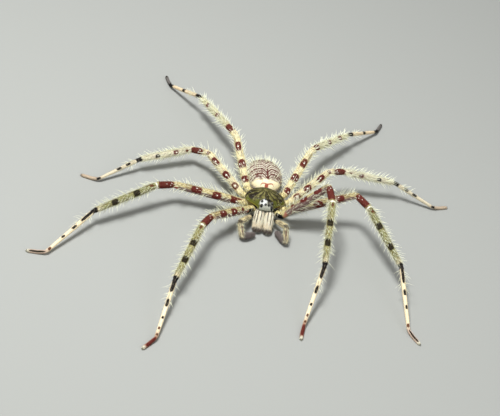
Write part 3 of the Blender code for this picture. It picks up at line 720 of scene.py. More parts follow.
class Shader:
    """A material with a Principled surface, built node by node."""

    def __init__(self, name: str) -> None:
        """Starts a material.

        Args:
            name: The material's name.
        """
        self.material = bpy.data.materials.new(name)
        self.material.use_nodes = True
        self.tree = self.material.node_tree
        self.surface = self.tree.nodes["Principled BSDF"]

    def node(
        self, kind: str, settings: dict[str, object], inputs: dict[int | str, object]
    ) -> bpy.types.Node:
        """Makes any node.

        Args:
            kind: The node's type without its first word, such as Math or TexNoise.
            settings: Its settings, which are set first. The stops of a ramp are pairs of a
                position and a colour.
            inputs: Values or links of its sockets, by number or name.

        Returns:
            The node.
        """
        made = self.tree.nodes.new(f"ShaderNode{kind}")
        for name, value in settings.items():
            if name == "stops":
                ramp = made.color_ramp
                for number, (position, colour) in enumerate(value):
                    stop = ramp.elements[number] if number < 2 else ramp.elements.new(position)
                    stop.position, stop.color = position, colour
            else:
                setattr(made, name, value)
        for name, value in inputs.items():
            self.feed(made.inputs[name], value)
        return made

    def feed(self, socket: Link, value: object) -> None:
        """Links a socket to a signal or another socket, or sets its value.

        Args:
            socket: The socket that is fed.
            value: What feeds it.
        """
        if isinstance(value, Signal):
            value = value.socket
        if isinstance(value, Link):
            self.tree.links.new(value, socket)
        else:
            socket.default_value = value

    def maths(self, operation: str, *values: Value) -> Signal:
        """A Math node on some values, in the order in which they go in."""
        node = self.node("Math", {"operation": operation}, dict(enumerate(values)))
        return Signal(self, node.outputs[0])

    def attribute(self, name: str) -> list[Signal]:
        """The three parts of a vector that the mesh carries."""
        carried = self.node("Attribute", {"attribute_name": name}, {}).outputs["Vector"]
        return [Signal(self, part) for part in self.node("SeparateXYZ", {}, {0: carried}).outputs]

    def vector(self, *parts: Value) -> Link:
        """A vector from three values."""
        return self.node("CombineXYZ", {}, dict(enumerate(parts))).outputs[0]

    def noise(self, vector: Link, scale: float, detail: float = 2.0) -> Signal:
        """Noise from about 0 to 1: where it is read, how fine it is, and its finer layers."""
        inputs = {"Vector": vector, "Scale": scale, "Detail": detail}
        return Signal(self, self.node("TexNoise", {}, inputs).outputs[0])

    def mix(self, factor: Value, first: object, second: object) -> Link:
        """A colour between two: the first at a factor of 0, the second at 1."""
        settings = {"data_type": "RGBA", "clamp_factor": True}
        return self.node("Mix", settings, {0: factor, 6: first, 7: second}).outputs[2]

    def times(self, first: object, shade: Signal) -> Link:
        """A colour made darker or lighter by a value."""
        grey = self.vector(shade, shade, shade)
        return self.node("VectorMath", {"operation": "MULTIPLY"}, {0: first, 1: grey}).outputs[0]

    def ramp(self, value: Signal, stops: list[tuple[float, Paint]]) -> Link:
        """Colours along a value from 0 to 1."""
        return self.node("ValToRGB", {"stops": stops}, {0: value}).outputs[0]

    def grain(self, scale: float) -> Signal:
        """Fine noise on the object itself, at so many waves to a millimetre."""
        place = self.node("TexCoord", {}, {}).outputs["Object"]
        return self.noise(place, scale / MM, 3.0)

    def relief(self, height: Signal, depth: float, strength: float) -> None:
        """Raises and sinks the surface's shading.

        Args:
            height: The height, from 0 to 1.
            depth: The depth of the relief in metres.
            strength: How strongly it shows.
        """
        inputs = {"Strength": strength, "Distance": depth, "Height": height}
        node = self.node("Bump", {}, inputs)
        self.tree.links.new(node.outputs["Normal"], self.surface.inputs["Normal"])

    def finish(self, colour: object, roughness: Value, **fixed: object) -> None:
        """Sets the surface.

        Args:
            colour: Its base colour.
            roughness: Its roughness.
            fixed: Its other sockets, named with underscores for spaces.
        """
        self.feed(self.surface.inputs["Base Color"], colour)
        self.feed(self.surface.inputs["Roughness"], roughness)
        for name, value in fixed.items():
            self.surface.inputs[name.replace("_", " ")].default_value = value


BRISTLE = paint(248, 250, 224)
BRISTLE_ROOT = paint(222, 218, 176)
HIP_CREAM = paint(232, 220, 158)
SOCKET = paint(255, 253, 240)
PURPLE_GREY = paint(124, 98, 98)
PINK = paint(178, 88, 86)
DUSK = paint(84, 76, 78)
DARK_BROWN = paint(48, 34, 18)
TAN = paint(190, 158, 118)
# Black of the skin round the eyes; also painted shade in the gaps beside the face: first hips, palps'
# bases, underside's front.
BLACK_SKIN_AND_SHADE = paint(16, 16, 22)
RIM_PALE = paint(226, 222, 200)


class Ink(Enum):
    """Colours of the marks on the legs."""

    MAROON = paint(98, 38, 32)
    BROWN = paint(100, 62, 42)
    OLIVE_BLACK = paint(40, 34, 22)
    BLACK = paint(24, 20, 20)


@dataclass(frozen=True)
class Finish:
    """What all finishes of the animal share: skin under fine fur, and the fur on it."""

    name: str
    grain: ClassVar[float] = 7.0
    relief: ClassVar[float] = 0.7
    # Lowest factor and range of the painted shade in the skin's pits.
    shades: ClassVar[Span] = (0.78, 0.3)
    roughness: ClassVar[float] = 0.75
    gloss: ClassVar[float] = 0.15

    def markings(self, shader: Shader) -> Link:
        """The colour that skin and fur share, from the places on the mesh."""
        raise NotImplementedError

    def dress(self, layer: Layer) -> Look:
        """Builds the material.

        Args:
            layer: Whether it is the skin or the fur on it.

        Returns:
            The material.
        """
        shader = Shader(f"{self.name}_{layer.value}")
        colour = self.markings(shader)
        if layer is Layer.SKIN:
            self.skin(shader, colour)
        else:
            self.fur(shader, colour)
        return shader.material

    def skin(self, shader: Shader, colour: Link) -> None:
        """Finishes the skin: fine grain of lying hairs, with painted shade in its pits.

        Args:
            shader: The material.
            colour: Its markings.
        """
        grain = shader.grain(self.grain)
        shader.relief(grain, 0.03 * MM, self.relief)
        # Painted shade: the colour is darkened where the grain's relief sinks.
        shade = grain.over(0.25, 0.75) * self.shades[1] + self.shades[0]
        shader.finish(shader.times(colour, shade), self.roughness, Specular_IOR_Level=self.gloss)

    def fur(self, shader: Shader, colour: Link) -> None:
        """Finishes the fur: each hair a shade of its own, the long bristles pale.

        Args:
            shader: The material.
            colour: Its markings.
        """
        tip, chance, stiff = shader.attribute("strand")
        own = shader.times(colour, chance * 0.5 + tip * 0.2 + 0.76)
        bright = shader.mix(tip.over(0.0, 0.35), BRISTLE_ROOT, BRISTLE)
        shader.finish(shader.mix(stiff, own, bright), 0.85, Specular_IOR_Level=0.08)


@dataclass(frozen=True)
class Mark:
    """A dark blotch or ring on a leg.

    Attributes:
        along: Its middle, as a place along the leg.
        half: Half its length in millimetres.
        aside: Its middle's turn from the row of spots, towards the front.
        reach: Half its width in millimetres, or 0 for a ring.
        ink: Its colour.
        hollow: How much paler it is in its middle.
    """

    along: float
    half: float
    aside: float = 0.0
    reach: float = 0.0
    ink: Ink = Ink.MAROON
    hollow: float = 0.0


@dataclass(frozen=True)
class Dot:
    """A pale round socket: place along the leg, turn from the row of spots, and radius in mm."""

    along: float
    aside: float
    radius: float


@dataclass(frozen=True)
class LegFinish(Finish):
    """A leg's pale ground, dark marks, pale sockets and dusky lower sides, partly painted shade.

    Attributes:
        lengths: Lengths in millimetres of the free segments, femur to tarsus.
        marks: The dark marks.
        dots: The pale sockets.
        grounds: Ground colours of femur, tibia, metatarsus and tarsus.
        fore: Whether it is a front pair: pink at the knee, purple-grey below, partly painted shade.
        foremost: Whether it is the first pair, whose hip beside the face is painted black as shade.
    """

    lengths: Numbers
    marks: tuple[Mark, ...]
    dots: tuple[Dot, ...]
    grounds: tuple[Paint, Paint, Paint, Paint]
    fore: bool = False
    foremost: bool = False
    thickness: Numbers = (0.9, 1.0, 0.85, 0.82, 0.5, 0.44)
    hip_length: float = 4.0

    def scale(self, along: float) -> Span:
        """Millimetres to one segment, and the radius in millimetres, at a place along the leg."""
        segment = int(along)
        return (self.hip_length, *self.lengths)[segment], self.thickness[segment]

    def blotch(self, mark: Mark, along: Signal, turn: Signal, wobble: Signal) -> Signal:
        """Where one mark lies.

        Args:
            mark: The mark.
            along: Place along the leg.
            turn: Turn from the row of spots.
            wobble: Noise for its edge.

        Returns:
            1 on the mark, 0 off it.
        """
        length, radius = self.scale(mark.along)
        off = abs(along - mark.along) * (length / mark.half)
        size = off * off * off
        if mark.reach:
            aside = abs(turn - mark.aside) * (radius / mark.reach)
            size = size + aside * aside * aside
        shown = (size * (wobble * 0.75 + 1)).over(1.3, 0.75)
        if mark.hollow:
            shown = shown * (size.over(0.02, 0.3) * mark.hollow + (1 - mark.hollow))
        return shown

    def socket(self, dot: Dot, along: Signal, turn: Signal) -> Signal:
        """Where one pale socket lies.

        Args:
            dot: The socket.
            along: Place along the leg.
            turn: Turn from the row of spots.

        Returns:
            1 on the socket, 0 off it.
        """
        length, radius = self.scale(dot.along)
        away, aside = (along - dot.along) * length, (turn - dot.aside) * radius
        off = (away * away + aside * aside).root()
        return off.over(dot.radius + 0.06, dot.radius - 0.04)

    def marked(self, place: Array) -> Array:
        """Finds the dark marks, where no pale hair grows.

        Args:
            place: Places in the markings.

        Returns:
            True for each place that lies in one.
        """
        turn = np.arctan2(place[:, 1], place[:, 2])
        found = np.zeros(len(place), bool)
        for mark in self.marks:
            length, radius = self.scale(mark.along)
            off = np.abs(place[:, 0] - mark.along) * length / mark.half
            aside = np.abs(turn - mark.aside) * radius / mark.reach if mark.reach else 0.0
            found |= off**3 + aside**3 < 1.1
        return found

    def markings(self, shader: Shader) -> Link:
        """The leg's colour from its place along and round the leg.

        Args:
            shader: The material.

        Returns:
            The colour.
        """
        along, aside, lift = shader.attribute("place")
        turn = aside.bearing(lift)
        walked = along * (sum(self.lengths) / len(self.lengths))
        spot = shader.vector(walked, aside * 0.9, lift * 0.9)
        coarse, fine = shader.noise(spot, 1.1), shader.noise(spot, 4.5)
        drawn = shader.vector(walked * 0.22, aside * 1.4, lift * 1.4)
        streak = shader.noise(drawn, 2.4)
        colour = self.ground(shader, along, turn, coarse, fine, streak)

        wobble = (coarse - 0.5) * 1.5 + (fine - 0.5) * 0.9
        for ink in Ink:
            shown: Value = 0.0
            for mark in self.marks:
                if mark.ink is ink:
                    shown = self.blotch(mark, along, turn, wobble).most(shown)
            if isinstance(shown, Signal):
                flecked = shown * (1 - fine.over(0.58, 0.7) * 0.45)
                colour = shader.mix(flecked, colour, ink.value)
        pale: Value = 0.0
        for dot in self.dots:
            pale = self.socket(dot, along, turn).most(pale)
        colour = shader.mix(pale, colour, SOCKET)
        return self.joints(shader, along, turn, colour)

    def ground(
        self, shader: Shader, along: Signal, turn: Signal, coarse: Signal, fine: Signal,
        streak: Signal,
    ) -> Link:
        """The ground under the marks.

        Args:
            shader: The material.
            along: Place along the leg.
            turn: Turn from the row of spots.
            coarse: Coarse noise.
            fine: Fine noise.
            streak: Noise drawn out along the leg.

        Returns:
            The colour.
        """
        femur, tibia, metatarsus, tarsus = self.grounds
        stops = [(0.0, HIP_CREAM), (0.15, HIP_CREAM), (0.19, femur), (0.48, femur)]
        stops += [(0.5, tibia), (0.64, tibia), (0.67, metatarsus), (0.81, metatarsus)]
        stops += [(0.84, tarsus), (0.96, tarsus), (0.985, RIM_PALE if self.fore else tarsus)]
        colour = shader.ramp(along / 6.0, stops)
        lines = streak.over(0.52, 0.6) * abs(turn).over(2.4, 1.4) * along.between(1.02, 4.3, 0.15)
        colour = shader.mix(lines * (0.65 if self.fore else 0.5), colour, Ink.BROWN.value)
        specks = fine.over(0.6, 0.7) * along.over(4.2, 3.9)
        colour = shader.mix(specks * 0.4, colour, Ink.BROWN.value)
        blots = (coarse + (fine - 0.5) * 0.6).over(0.51, 0.57) * along.over(1.06, 0.98)
        colour = shader.mix(blots * 0.8, colour, Ink.BROWN.value)
        if not self.fore:
            rail = abs(abs(turn) - 0.5 + (coarse - 0.5) * 0.5).over(0.09, 0.03)
            rail = rail * along.between(1.05, 1.96, 0.03) * streak.over(0.36, 0.46)
            colour = shader.mix(rail * 0.9, colour, Ink.BROWN.value)
            sole = abs(turn).over(1.6, 2.1) * along.over(4.25, 4.5)
            return shader.mix(sole * 0.8, colour, DUSK)
        # Front pairs: purple-grey on the femur's sides and under tibia and metatarsus, own colour
        # deepened by painted shade.
        edge = turn + (coarse - 0.5) * 0.8
        low = (edge.over(0.0, 0.35).most(edge.over(-1.2, -1.8))) * along.between(1.02, 1.97, 0.06)
        colour = shader.mix(low * 0.92, colour, PURPLE_GREY)
        low = abs(edge).over(1.5, 2.2) * along.between(2.0, 4.0, 0.06)
        return shader.mix(low * 0.5, colour, PURPLE_GREY)

    def joints(
        self, shader: Shader, along: Signal, turn: Signal, colour: Link
    ) -> Link:
        """Adds the pale cuffs, the pink knees and the first hip's painted black shade.

        Args:
            shader: The material.
            along: Place along the leg.
            turn: Turn from the row of spots.
            colour: The colour so far.

        Returns:
            The colour.
        """
        colour = shader.mix(along.between(1.975, 2.0, 0.008) * 0.7, colour, RIM_PALE)
        if not self.fore:
            return colour
        colour = shader.mix(along.between(2.975, 3.02, 0.012), colour, SOCKET)
        knee = along.between(1.93, 2.03, 0.02) * turn.between(0.35, 2.4, 0.3)
        colour = shader.mix(knee * 0.9, colour, PINK)
        if self.foremost:
            fold = along.between(1.0, 1.08, 0.02) * turn.between(0.3, 1.6, 0.2)
            colour = shader.mix(fold * 0.65, colour, PINK)
            # Painted shade: the first hip's front beside the face is painted black.
            hip_shade = along.between(0.6, 1.03, 0.03) * turn.between(-0.15, 3.1, 0.2)
            colour = shader.mix(hip_shade, colour, BLACK_SKIN_AND_SHADE)
            edge = along.between(0.74, 0.8, 0.02) * turn.between(-0.2, 1.5, 0.2)
            colour = shader.mix(edge * 0.9, colour, RIM_PALE)
        return colour


@dataclass(frozen=True)
class Eye:
    """One kind of eye: its name, how far out and forward it sits, and its radius."""

    name: str
    across: float
    forward: float
    radius: float


@dataclass(frozen=True)
class ShieldFinish(Finish):
    """The shield: olive, dark rays from its pit, silver hair, black-ringed eyes, a painted glint."""

    eyes: tuple[Spot, ...]
    pit_y: float
    olive: Paint = paint(80, 76, 34)
    light: Paint = paint(152, 146, 92)
    dark: Paint = paint(28, 18, 10)
    green: Paint = paint(104, 108, 42)
    yellow: Paint = paint(176, 166, 70)
    rear: Paint = paint(88, 42, 28)
    # White of the painted glint beside the right eyes.
    silver: Paint = paint(240, 242, 238)
    grey: Paint = paint(206, 208, 194)
    halo: float = 1.05
    grain: ClassVar[float] = 6.0
    relief: ClassVar[float] = 0.5
    shades: ClassVar[Span] = (0.8, 0.25)
    roughness: ClassVar[float] = 0.55
    gloss: ClassVar[float] = 0.2

    def markings(self, shader: Shader) -> Link:
        """The shield's colour from the place on it, in millimetres.

        Args:
            shader: The material.

        Returns:
            The colour.
        """
        x, y, z = shader.attribute("place")
        spot = shader.vector(x, y, z)
        coarse, fine = shader.noise(spot, 0.9), shader.noise(spot, 4.0)
        away, aside = y - self.pit_y / MM, abs(x)
        reach = (aside * aside + away * away).root()
        bearing = aside.bearing(-away) + (coarse - 0.5) * 0.45
        wing = aside.over(1.4, 3.0)
        rays = (bearing * 15.0).sine() + (bearing * 47.0).sine() * 0.6 + wing * 0.5
        rays = rays + (fine - 0.5) * 2.0
        colour = shader.mix(coarse.over(0.35, 0.65) * 0.6, self.olive, self.light)
        ray = rays.over(-0.25, 0.35) * reach.over(0.3, 0.9)
        colour = shader.mix(ray * (wing * 0.1 + 0.84), colour, self.dark)
        low = z.over(5.75, 5.45) * y.over(-0.8, -1.6) * (fine.over(0.25, 0.5) * 0.5 + 0.4)
        colour = shader.mix(low, colour, self.green)
        cheek_x, cheek_y = (aside - 2.3) / 0.6, (y + 3.1) / 0.9
        cheek = (cheek_x * cheek_x + cheek_y * cheek_y).over(1.3, 0.3)
        colour = shader.mix(cheek * 0.8, colour, self.green)
        edge = z.over(5.12, 5.0) * y.over(-0.9, -1.5) * fine.over(0.2, 0.45)
        colour = shader.mix(edge * 0.9, colour, self.yellow)
        back = ((y + 0.5) / 3.9).most(0.0) ** 1.75 + x * x / 26.0 - aside * 0.045
        colour = shader.mix((back + (fine - 0.5) * 0.1).over(0.7, 0.8) * 0.9, colour, self.rear)
        return self.face(shader, x, y, z, fine, colour)

    def face(
        self, shader: Shader, x: Signal, y: Signal, z: Signal, fine: Signal,
        colour: Link,
    ) -> Link:
        """Adds the face: silver hair between the eyes, a painted glint, black skin round each.

        Args:
            shader: The material.
            x: Place across, in millimetres.
            y: Place along, in millimetres.
            z: Height, in millimetres.
            fine: Fine noise.
            colour: The colour so far.

        Returns:
            The colour.
        """
        aside = abs(x)
        crown = (y + aside * 0.25 + (fine - 0.5) * 0.8).over(-2.7, -3.3) * aside.over(1.9, 1.4)
        # Painted highlight: the silver hair is made brighter on the right side, towards the light.
        bright = fine.over(0.4, 0.54) * (x.over(0.7, -0.1) * 0.4 + 0.3)
        colour = shader.mix(crown * bright, colour, self.grey)
        night_x, night_y = (x - 0.55) / 1.1, (y + 2.95) / 0.45
        night = (night_x * night_x + night_y * night_y + (fine - 0.5) * 1.5).over(1.2, 0.6)
        colour = shader.mix(night * 0.8, colour, self.dark)
        # Painted highlight: a white glint on the hair beside the right eyes, where the light reflects.
        glint_x, glint_y = (x + 0.85) / 0.9, (y + 3.5) / 0.8
        patch = (glint_x * glint_x + glint_y * glint_y + (fine - 0.5) * 2.2).over(1.2, 0.7)
        colour = shader.mix(patch, colour, self.silver)
        chin = (y + (fine - 0.5) * 0.5).over(-4.3, -4.55) * aside.over(2.0, 1.7)
        colour = shader.mix(chin * 0.85, colour, self.grey)
        # Painted shade: a dark line along the shield's lower front edge, in the gap over the jaws.
        colour = shader.mix(z.over(4.95, 4.8) * y.over(-3.5, -4.2), colour, self.dark)
        seats: Value = 0.0
        for across, along, radius in self.eyes:
            off_x, off_y = x - across / MM, y - along / MM
            off = (off_x * off_x + off_y * off_y * 0.8).root() / (radius / MM)
            seats = off.over(self.halo + 0.2, self.halo - 0.1).most(seats)
        return shader.mix(seats, colour, BLACK_SKIN_AND_SHADE)


@dataclass(frozen=True)
class AbdomenFinish(Finish):
    """The abdomen: a cream front with a red-brown anchor, then grey with wavy maroon lines."""

    cream: Paint = paint(255, 246, 208)
    grey: Paint = paint(214, 208, 188)
    rear: Paint = paint(146, 134, 118)
    flank: Paint = paint(196, 180, 172)
    line: Paint = paint(92, 42, 38)
    stripe: Paint = paint(92, 30, 28)
    anchor: Paint = paint(168, 74, 54)

    def markings(self, shader: Shader) -> Link:
        """The abdomen's colour from its place, each way from -1 to 1 and 1 at the rear.

        Args:
            shader: The material.

        Returns:
            The colour.
        """
        x, y, z = shader.attribute("place")
        spot = shader.vector(x, y, z)
        coarse, fine = shader.noise(spot, 4.0), shader.noise(spot, 13.0)
        aside = abs(x)
        rough = (coarse - 0.5) * 0.12 + (fine - 0.5) * 0.06
        bend = aside.over(-0.05, 0.3) * 0.26 - aside.over(0.6, 1.0) * 0.12
        wave = ((y - bend + rough * 0.6) * (TURN / 0.3) + math.pi / 2).sine()
        behind = (y + rough).over(-0.64, -0.56)
        colour = shader.mix(y.over(0.2, 0.9), self.grey, self.rear)
        colour = shader.mix(z.over(0.45, -0.1), colour, self.flank)
        blots = (fine + (coarse - 0.5) * 0.6).over(0.5, 0.58) * y.over(0.05, -0.15) * behind
        colour = shader.mix(blots * z.over(0.1, 0.5) * 0.75, colour, self.line)
        top = z.over(-0.2, 0.2)
        colour = shader.mix((-wave).over(0.6, 0.9) * top * 0.75, colour, self.line)
        colour = shader.mix(wave.over(0.35, 0.7) * top * 0.97, colour, self.line)
        thick = abs(y + 0.33).over(0.5, 0.0) * 0.035 + 0.02
        stripe = abs(x - 0.03 + rough * 0.2).less(thick)
        colour = shader.mix(stripe * y.between(-0.72, -0.02, 0.04) * 0.9, colour, self.stripe)
        dent_x, dent_y = (aside - 0.54) / 0.09, (y + 0.43) / 0.06
        dent = (dent_x * dent_x + dent_y * dent_y + (fine - 0.5)).over(1.2, 0.6)
        colour = shader.mix(dent * 0.85, colour, self.stripe)
        front = (y + aside.over(0.3, 0.9) * -0.08 + rough).over(-0.6, -0.68) * z.over(-0.1, 0.2)
        colour = shader.mix(front, colour, self.cream)
        arch = aside.over(0.0, 0.28) * 0.04 - aside.over(0.28, 0.38) * 0.06
        bar = abs(y + 0.83 - arch).over(0.03, 0.014) * aside.over(0.38, 0.34)
        stem = x.between(-0.15, 0.07, 0.03) * y.between(-0.98, -0.83, 0.02)
        mark = stem.most(bar) * (1 - fine.over(0.6, 0.72) * 0.3)
        return shader.mix(mark * 0.95, colour, self.anchor)


@dataclass(frozen=True)
class JawFinish(Finish):
    """A jaw: cream ridges, dark gaps from the top, painted tan shadow below, a dusky and pink end."""

    cream: Paint = paint(255, 250, 232)
    # Tan of the painted shadow on the lower jaw, and of its fine streaks.
    shade: Paint = paint(212, 184, 134)
    fringe: Paint = paint(78, 70, 66)
    blush: Paint = paint(140, 122, 112)
    gaps: Table = ((-0.4, 0.6), (-0.95, 0.4), (0.3, 0.4), (1.25, 0.8))

    def markings(self, shader: Shader) -> Link:
        """The jaw's colour from its place along and round it.

        Args:
            shader: The material.

        Returns:
            The colour.
        """
        along, inner, lift = shader.attribute("place")
        turn = inner.bearing(lift)
        drawn = shader.vector(along * 1.0, inner * 2.2, lift * 2.2)
        spot = shader.vector(along * 3.4, inner * 1.4, lift * 1.4)
        streak, coarse = shader.noise(drawn, 3.2), shader.noise(spot, 2.2)
        # Painted shadow: the lower part of the jaw is toned tan.
        lower = (along + (coarse - 0.5) * 0.35).over(0.45, 0.8)
        colour = shader.mix(lower * 0.45, self.cream, self.shade)
        lines = streak.over(0.54, 0.63) * along.over(0.95, 0.3)
        colour = shader.mix(lines * 0.55, colour, self.shade)
        for middle, length in self.gaps:
            bent = turn + (streak - 0.5) * 0.5 - middle
            gap = abs(bent).over(0.17, 0.05) * along.over(length + 0.15, length - 0.15)
            colour = shader.mix(gap * 0.95, colour, DARK_BROWN)
        end = (along + (coarse - 0.5) * 0.25).over(0.76, 0.88)
        colour = shader.mix(end * 0.95, colour, self.fringe)
        return shader.mix(end * coarse.over(0.55, 0.68) * 0.5, colour, self.blush)


@dataclass(frozen=True)
class PalpFinish(Finish):
    """A palp: cream with brown stripes and dark joints, its last segment dusky."""

    cream: Paint = paint(255, 244, 204)
    stripe: Paint = paint(76, 48, 34)
    pad: Paint = paint(130, 120, 116)

    def markings(self, shader: Shader) -> Link:
        """The palp's colour from its place along and round it.

        Args:
            shader: The material.

        Returns:
            The colour.
        """
        along, aside, lift = shader.attribute("place")
        turn = aside.bearing(lift)
        drawn = shader.vector(along * 1.4, aside * 1.5, lift * 1.5)
        spot = shader.vector(along * 5.0, aside, lift)
        streak, coarse = shader.noise(drawn, 2.6), shader.noise(spot, 1.6)
        colour = shader.mix(coarse.over(0.4, 0.7) * 0.25, self.cream, TAN)
        colour = shader.mix(streak.over(0.5, 0.58) * 0.85, colour, self.stripe)
        joint = abs(along - 3.0 + (coarse - 0.5) * 0.1).over(0.13, 0.05)
        colour = shader.mix(joint * 0.8, colour, DARK_BROWN)
        stripe = abs(turn - 0.2).over(0.45, 0.2) * along.between(3.2, 3.85, 0.08)
        colour = shader.mix(stripe * 0.85, colour, Ink.MAROON.value)
        # Painted shade: the palp's base under the face is painted black.
        colour = shader.mix(along.over(1.9, 1.6), colour, BLACK_SKIN_AND_SHADE)
        return shader.mix((along + (coarse - 0.5) * 0.12).over(3.95, 4.06), colour, self.pad)


@dataclass(frozen=True)
class UnderFinish(Finish):
    """The underside: a tan plate, pale soft skin, and black painted shade beside the face."""

    plate: Paint = paint(180, 152, 110)
    plate_dark: Paint = paint(138, 106, 74)
    soft: Paint = paint(196, 184, 130)
    soft_dark: Paint = paint(120, 96, 62)

    def markings(self, shader: Shader) -> Link:
        """The underside's colour from the place on it, in millimetres.

        Args:
            shader: The material.

        Returns:
            The colour.
        """
        x, y, z = shader.attribute("place")
        coarse = shader.noise(shader.vector(x, y, z), 1.6, 3.0).over(0.35, 0.65)
        plate = shader.mix(coarse, self.plate, self.plate_dark)
        soft = shader.mix(coarse, self.soft, self.soft_dark)
        colour = shader.mix(z.over(2.3, 2.7), plate, soft)
        # Painted shade: the front under the shield's rim is painted black.
        return shader.mix(y.over(-2.0, -3.0) * z.over(2.6, 3.2), colour, BLACK_SKIN_AND_SHADE)


@dataclass(frozen=True)
class PlainFinish:
    """A hard smooth finish with a faint cloud of a second colour: eyes, fangs and claws."""

    name: str
    base: Paint
    cloud: Paint
    roughness: float
    coat: float

    def dress(self) -> Look:
        """Builds the material.

        Returns:
            The material.
        """
        shader = Shader(self.name)
        cloud = shader.grain(2.5)
        colour = shader.mix(cloud.over(0.4, 0.7), self.base, self.cloud)
        shader.finish(colour, self.roughness, Coat_Weight=self.coat, Coat_Roughness=0.03)
        return shader.material


EYE_BLACK = PlainFinish("eye_black", (0.004, 0.004, 0.005, 1), (0.012, 0.010, 0.012, 1), 0.06, 1.0)
HORN = PlainFinish("fang_horn", paint(58, 20, 14), paint(24, 8, 8), 0.2, 0.6)
CLAW_HORN = PlainFinish("claw_horn", paint(40, 26, 22), paint(20, 14, 14), 0.3, 0.3)


@dataclass(frozen=True)
class Shield:
    """The carapace with its eyes: a low dome with wide shoulders and a narrow head.

    It is swung a little about its face. Its places are given before the swing, but those of the
    eyes after it.
    """

    origin: Array
    half_width: float = 5.1 * MM
    head_half_width: float = 2.2 * MM
    head_end: float = -3.9 * MM
    shoulder: float = -1.1 * MM
    widest_y: float = -0.5 * MM
    swing: float = 5.0
    pivot: Spot = (0.0, -4.5, 0.0)
    front: float = -4.95 * MM
    rear: float = 3.4 * MM
    rim_z: float = 4.9 * MM
    rim_depth: float = 0.3 * MM
    dome: float = 1.9 * MM
    pit_y: float = 1.3 * MM
    pit_depth: float = 0.16 * MM
    pit_size: Span = (0.16, 0.5)
    furrow_depth: float = 0.05 * MM
    furrow_waves: float = 6.0
    furrow_reach: Span = (2.2, 1.3)
    eye_mound: float = 0.4
    front_power: float = 18.0
    rear_power: float = 1.75
    ridge_powers: Span = (5.0, 2.4)
    short_hair: Hair = Hair(0.36 * MM, 0.015 * MM, 12, 4)
    crown_hair: Hair = Hair(0.34 * MM, 0.018 * MM, 24, 8)
    stiff_hair: Hair = Hair(0.9 * MM, 0.024 * MM, 50, 30, rings=3, stiff=0.8)
    eyes: tuple[Eye, ...] = (
        Eye("front_middle", 0.42 * MM, -4.25 * MM, 0.22 * MM),
        Eye("front_side", 1.3 * MM, -4.42 * MM, 0.32 * MM),
        Eye("rear_middle", 0.55 * MM, -2.85 * MM, 0.22 * MM),
        Eye("rear_side", 1.3 * MM, -3.4 * MM, 0.28 * MM),
    )

    def turned(self) -> Array:
        """How the shield's own frame is turned in the model's."""
        return swung(self.swing)

    def placed(self, local: Array) -> Array:
        """Points of the shield's own frame, in the model's frame."""
        pivot = millimetres(self.pivot)
        return (local - pivot) @ self.turned().T + pivot + self.origin

    def seat(self, eye: Eye, side: Side) -> Array:
        """Where an eye sits in the shield's own frame: across and along."""
        spot = np.array([side.value * eye.across, eye.forward, 0.0]) - millimetres(self.pivot)
        return (spot @ self.turned() + millimetres(self.pivot))[:2]

    def seats(self) -> tuple[Spot, ...]:
        """Every eye's place across and along in the shield's own frame, and its radius."""
        return tuple((*self.seat(eye, side), eye.radius) for eye in self.eyes for side in Side)

    def outline(self, y: Array) -> tuple[Array, Array]:
        """Half the shield's width and the height of its middle line.

        Args:
            y: Places along the body.

        Returns:
            Half widths, and heights above the rim.
        """
        ahead = y < self.widest_y
        depth = np.where(ahead, self.widest_y - self.front, self.rear - self.widest_y)
        share = np.clip(np.abs(y - self.widest_y) / depth, 0, 1)
        out = np.clip((y - self.head_end) / (self.shoulder - self.head_end), 0, 1)
        flare = (self.half_width - self.head_half_width) * (3 - 2 * out) * out**2
        fore = (self.head_half_width + flare) * np.sqrt(1 - share**self.front_power)
        aft = self.half_width * np.sqrt(1 - share**self.rear_power)
        width = np.where(ahead, fore, aft)
        power = np.where(ahead, *self.ridge_powers)
        return width, self.dome * np.sqrt(1 - share**power)

    def top(self, x: Array, y: Array) -> Array:
        """Height of the shield's upper face, with its pit, furrows and eye mounds.

        Args:
            x: Places across the body.
            y: Places along it.

        Returns:
            The heights.
        """
        width, ridge = self.outline(y)
        across = np.clip(np.abs(x) / np.maximum(width, WELD), 0, 1)
        level = ridge * (1 - across**2) ** 0.6
        away, aside = (y - self.pit_y) / MM, np.abs(x) / MM
        pit = hill(np.hypot(aside / self.pit_size[0], away / self.pit_size[1]))
        level = level - self.pit_depth * pit
        bearing, reach = np.arctan2(aside, -away), np.hypot(aside, away)
        middle, width = self.furrow_reach
        furrow = np.maximum(0, np.sin(bearing * self.furrow_waves)) ** 3
        level = level - self.furrow_depth * (furrow * hill((reach - middle) / width))
        for across, along, radius in self.seats():
            off = np.hypot(x - across, y - along) / (radius * 1.3)
            level = level + self.eye_mound * radius * hill(off) * (ridge > 0.2 * self.dome)
        return self.rim_z + level

    def shape(self, turn: Array, share: Array) -> tuple[Array, Array, Array]:
        """Points, places and lie of the shield's surface.

        Args:
            turn: Turns round the body.
            share: Shares along it.

        Returns:
            The points, the places in millimetres and the directions in which hair lies.
        """
        run = -np.cos(math.pi * share)
        y = (self.front + self.rear) / 2 + (self.rear - self.front) / 2 * run
        y = np.clip(y, self.front + COAT_DEPTH, self.rear - COAT_DEPTH)
        width = np.maximum(self.outline(y)[0] - COAT_DEPTH, 0)
        angle = turn - math.pi / 2
        x = np.cos(angle) * width
        upper = self.top(x, y) - COAT_DEPTH
        lower = self.rim_z - self.rim_depth * np.minimum(1, -2.5 * np.sin(angle))
        ends = np.sin(math.pi * share) < 1e-6
        z = np.where(ends, self.rim_z, np.where(np.sin(angle) >= 0, upper, lower))
        x = np.where(ends, 0, x)
        local = np.stack([x, y, z], axis=1)
        lie = np.stack([x, y - self.pit_y, -0.3 * MM - 0 * z], axis=1)
        return self.placed(local), local / MM, unit(lie) @ self.turned().T

